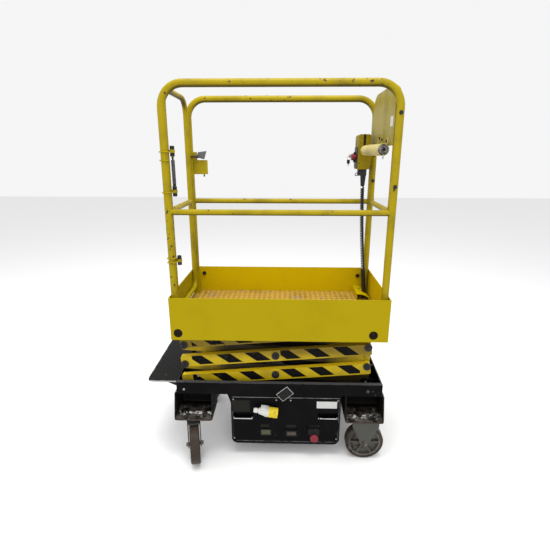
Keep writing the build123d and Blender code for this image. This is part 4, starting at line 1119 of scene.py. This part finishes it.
piece("plate_sticker", mesh, "platform", white_label)

# three bolt heads along the plate's foot
mesh = bmesh.new()
for y, z in ((0.03, 1.64), (-0.026, 1.631), (-0.118, 1.622)):
    bolt(mesh, (plate_face, y, z), (-1, 0, 0), 0.01, 0.004, 0.006)
piece("plate_bolts", mesh, "platform", pin_black)


def ring_round(mesh, centre, axis, reach, wire):
    """A closed wire ring round a centre; reach and wire are radii."""
    turns = [2 * pi * i / 8 for i in range(9)]
    section = [(wire * cos(turn), reach + wire * sin(turn)) for turn in turns]
    turned(mesh, centre, axis, section, 28)


# the key in its switch, a ring, and a fob and a spare key that hang from it
switch_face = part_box("control_face")[0].x
key_steel = paint_material(
    "key_steel", (0.3, 0.3, 0.29), (0.08, 0.06, 0.05), 0.62, 120.0, 0.5, specular=0.5
)
key_y, key_z = 0.216, 1.556
key_x = switch_face - 0.02
switch_profile = (
    (0, 0), (0, 0.009), (0.005, 0.009), (0.006, 0.0075), (0.011, 0.007), (0.011, 0),
)


def key_block(mesh, low, high, half, edge, segments=2):
    """A block centred on the key's plane, between two corners (x, z) from the key's place."""
    block(
        mesh,
        (key_x + low[0], key_y - half, key_z + low[1]),
        (key_x + high[0], key_y + half, key_z + high[1]),
        edge,
        segments,
    )


mesh = bmesh.new()
turned(mesh, (switch_face + 0.001, key_y, key_z), (-1, 0, 0), switch_profile, 24)
key_block(mesh, (-0.006, -0.0085), (0.012, 0.0085), 0.0011, 0.001)
ring_round(mesh, (key_x - 0.004, key_y, key_z - 0.01), (0, 1, 0), 0.01, 0.0009)
key_block(mesh, (-0.0085, -0.052), (-0.0035, -0.018), 0.0012, 0.0008)
piece("switch_key", mesh, "platform", key_steel)
mesh = bmesh.new()
key_block(mesh, (-0.014, -0.04), (0.002, -0.019), 0.0035, 0.0025, 3)
piece("key_fob", mesh, "platform", guard_black)

# a spare ring clipped to the gland's side
gland_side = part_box("lead_gland")[0].x
mesh = bmesh.new()
ring_round(mesh, (gland_side - 0.005, lead_y, 1.461), (0, 1, 0), 0.0072, 0.002)
piece("gland_ring", mesh, "platform", lead_rubber)

# rolled papers: a sheet wound in a loose spiral inside the tube
tube_mouth = Vector((from_middle(0.455), -0.195, 1.583))
tube_end = Vector((from_middle(0.435), 0.125, 1.583))
tube_line = (tube_mouth - tube_end).normalized()
paper_white = paint_material(
    "paper_white", (0.42, 0.39, 0.4), (0.2, 0.18, 0.19), 0.62, 60.0, 0.5, specular=0.05
)
mesh = bmesh.new()
across = tube_line.cross(Vector((0, 0, 1))).normalized()
rise = across.cross(tube_line).normalized()
spiral_steps, spiral_turns = 90, 3.2
roll_start = tube_end + tube_line * 0.02
roll_length = (tube_mouth - tube_end).length - 0.012
spiral = []
for step in range(spiral_steps + 1):
    part = step / spiral_steps
    reach = 0.0215 - 0.0125 * part + 0.0012 * sin(11 * part)
    turn = 2 * pi * spiral_turns * part
    spiral.append(roll_start + (across * cos(turn) + rise * sin(turn) * 0.92) * reach)
rim = [mesh.verts.new(spot) for spot in spiral]
rim_edges = [mesh.edges.new(pair) for pair in zip(rim, rim[1:])]
pulled = bmesh.ops.extrude_edge_only(mesh, edges=rim_edges)["geom"]
far_rim = [v for v in pulled if isinstance(v, bmesh.types.BMVert)]
bmesh.ops.translate(mesh, vec=tube_line * roll_length, verts=far_rim)
bmesh.ops.solidify(mesh, geom=mesh.faces, thickness=0.0006)
# a torn strip of the outer sheet hangs from the mouth
sheet_on(mesh, 0.451, 0.458, 1.543, 1.5625, tube_mouth.y - 0.004, 0.0008, 0.12)
piece("rolled_papers", mesh, "platform", paper_white)

# ---- studio ----
# A pale floor, soft light from above, in front and the left, and a white surround that fills
# the shadows.
floor_data = bpy.data.meshes.new("studio_floor")
floor_mesh = bmesh.new()
bmesh.ops.create_grid(floor_mesh, x_segments=1, y_segments=1, size=14.0)
floor_mesh.to_mesh(floor_data)
floor_mesh.free()
studio_floor = placed("studio_floor", floor_data)
pale = plain_material("studio_pale", (0.86, 0.86, 0.86), 0.95, specular=0.0)
floor_data.materials.append(pale[0])


def soft_light(name, place, aim, size, power):
    """A square area light turned towards a point."""
    data = bpy.data.lights.new(name, "AREA")
    data.size = size
    data.energy = power
    light = placed(name, data)
    light.location = place
    light.rotation_euler = (Vector(aim) - Vector(place)).to_track_quat("-Z", "Y").to_euler()


soft_light("top_light", (0.1, -0.5, 4.4), (0, 0, 0.6), 2.6, 150)
soft_light("front_light", (0.6, -4.4, 2.8), (0, 0, 0.8), 2.6, 58)
soft_light("left_light", (-3.8, -1.0, 2.8), (0, 0, 0.8), 2.0, 34)
world = bpy.data.worlds.new("studio_air")
world.use_nodes = True
world.node_tree.nodes["Background"].inputs[0].default_value = (1, 1, 1, 1)
world.node_tree.nodes["Background"].inputs[1].default_value = 0.92
bpy.context.scene.world = world
bpy.context.scene.view_settings.view_transform = "Standard"
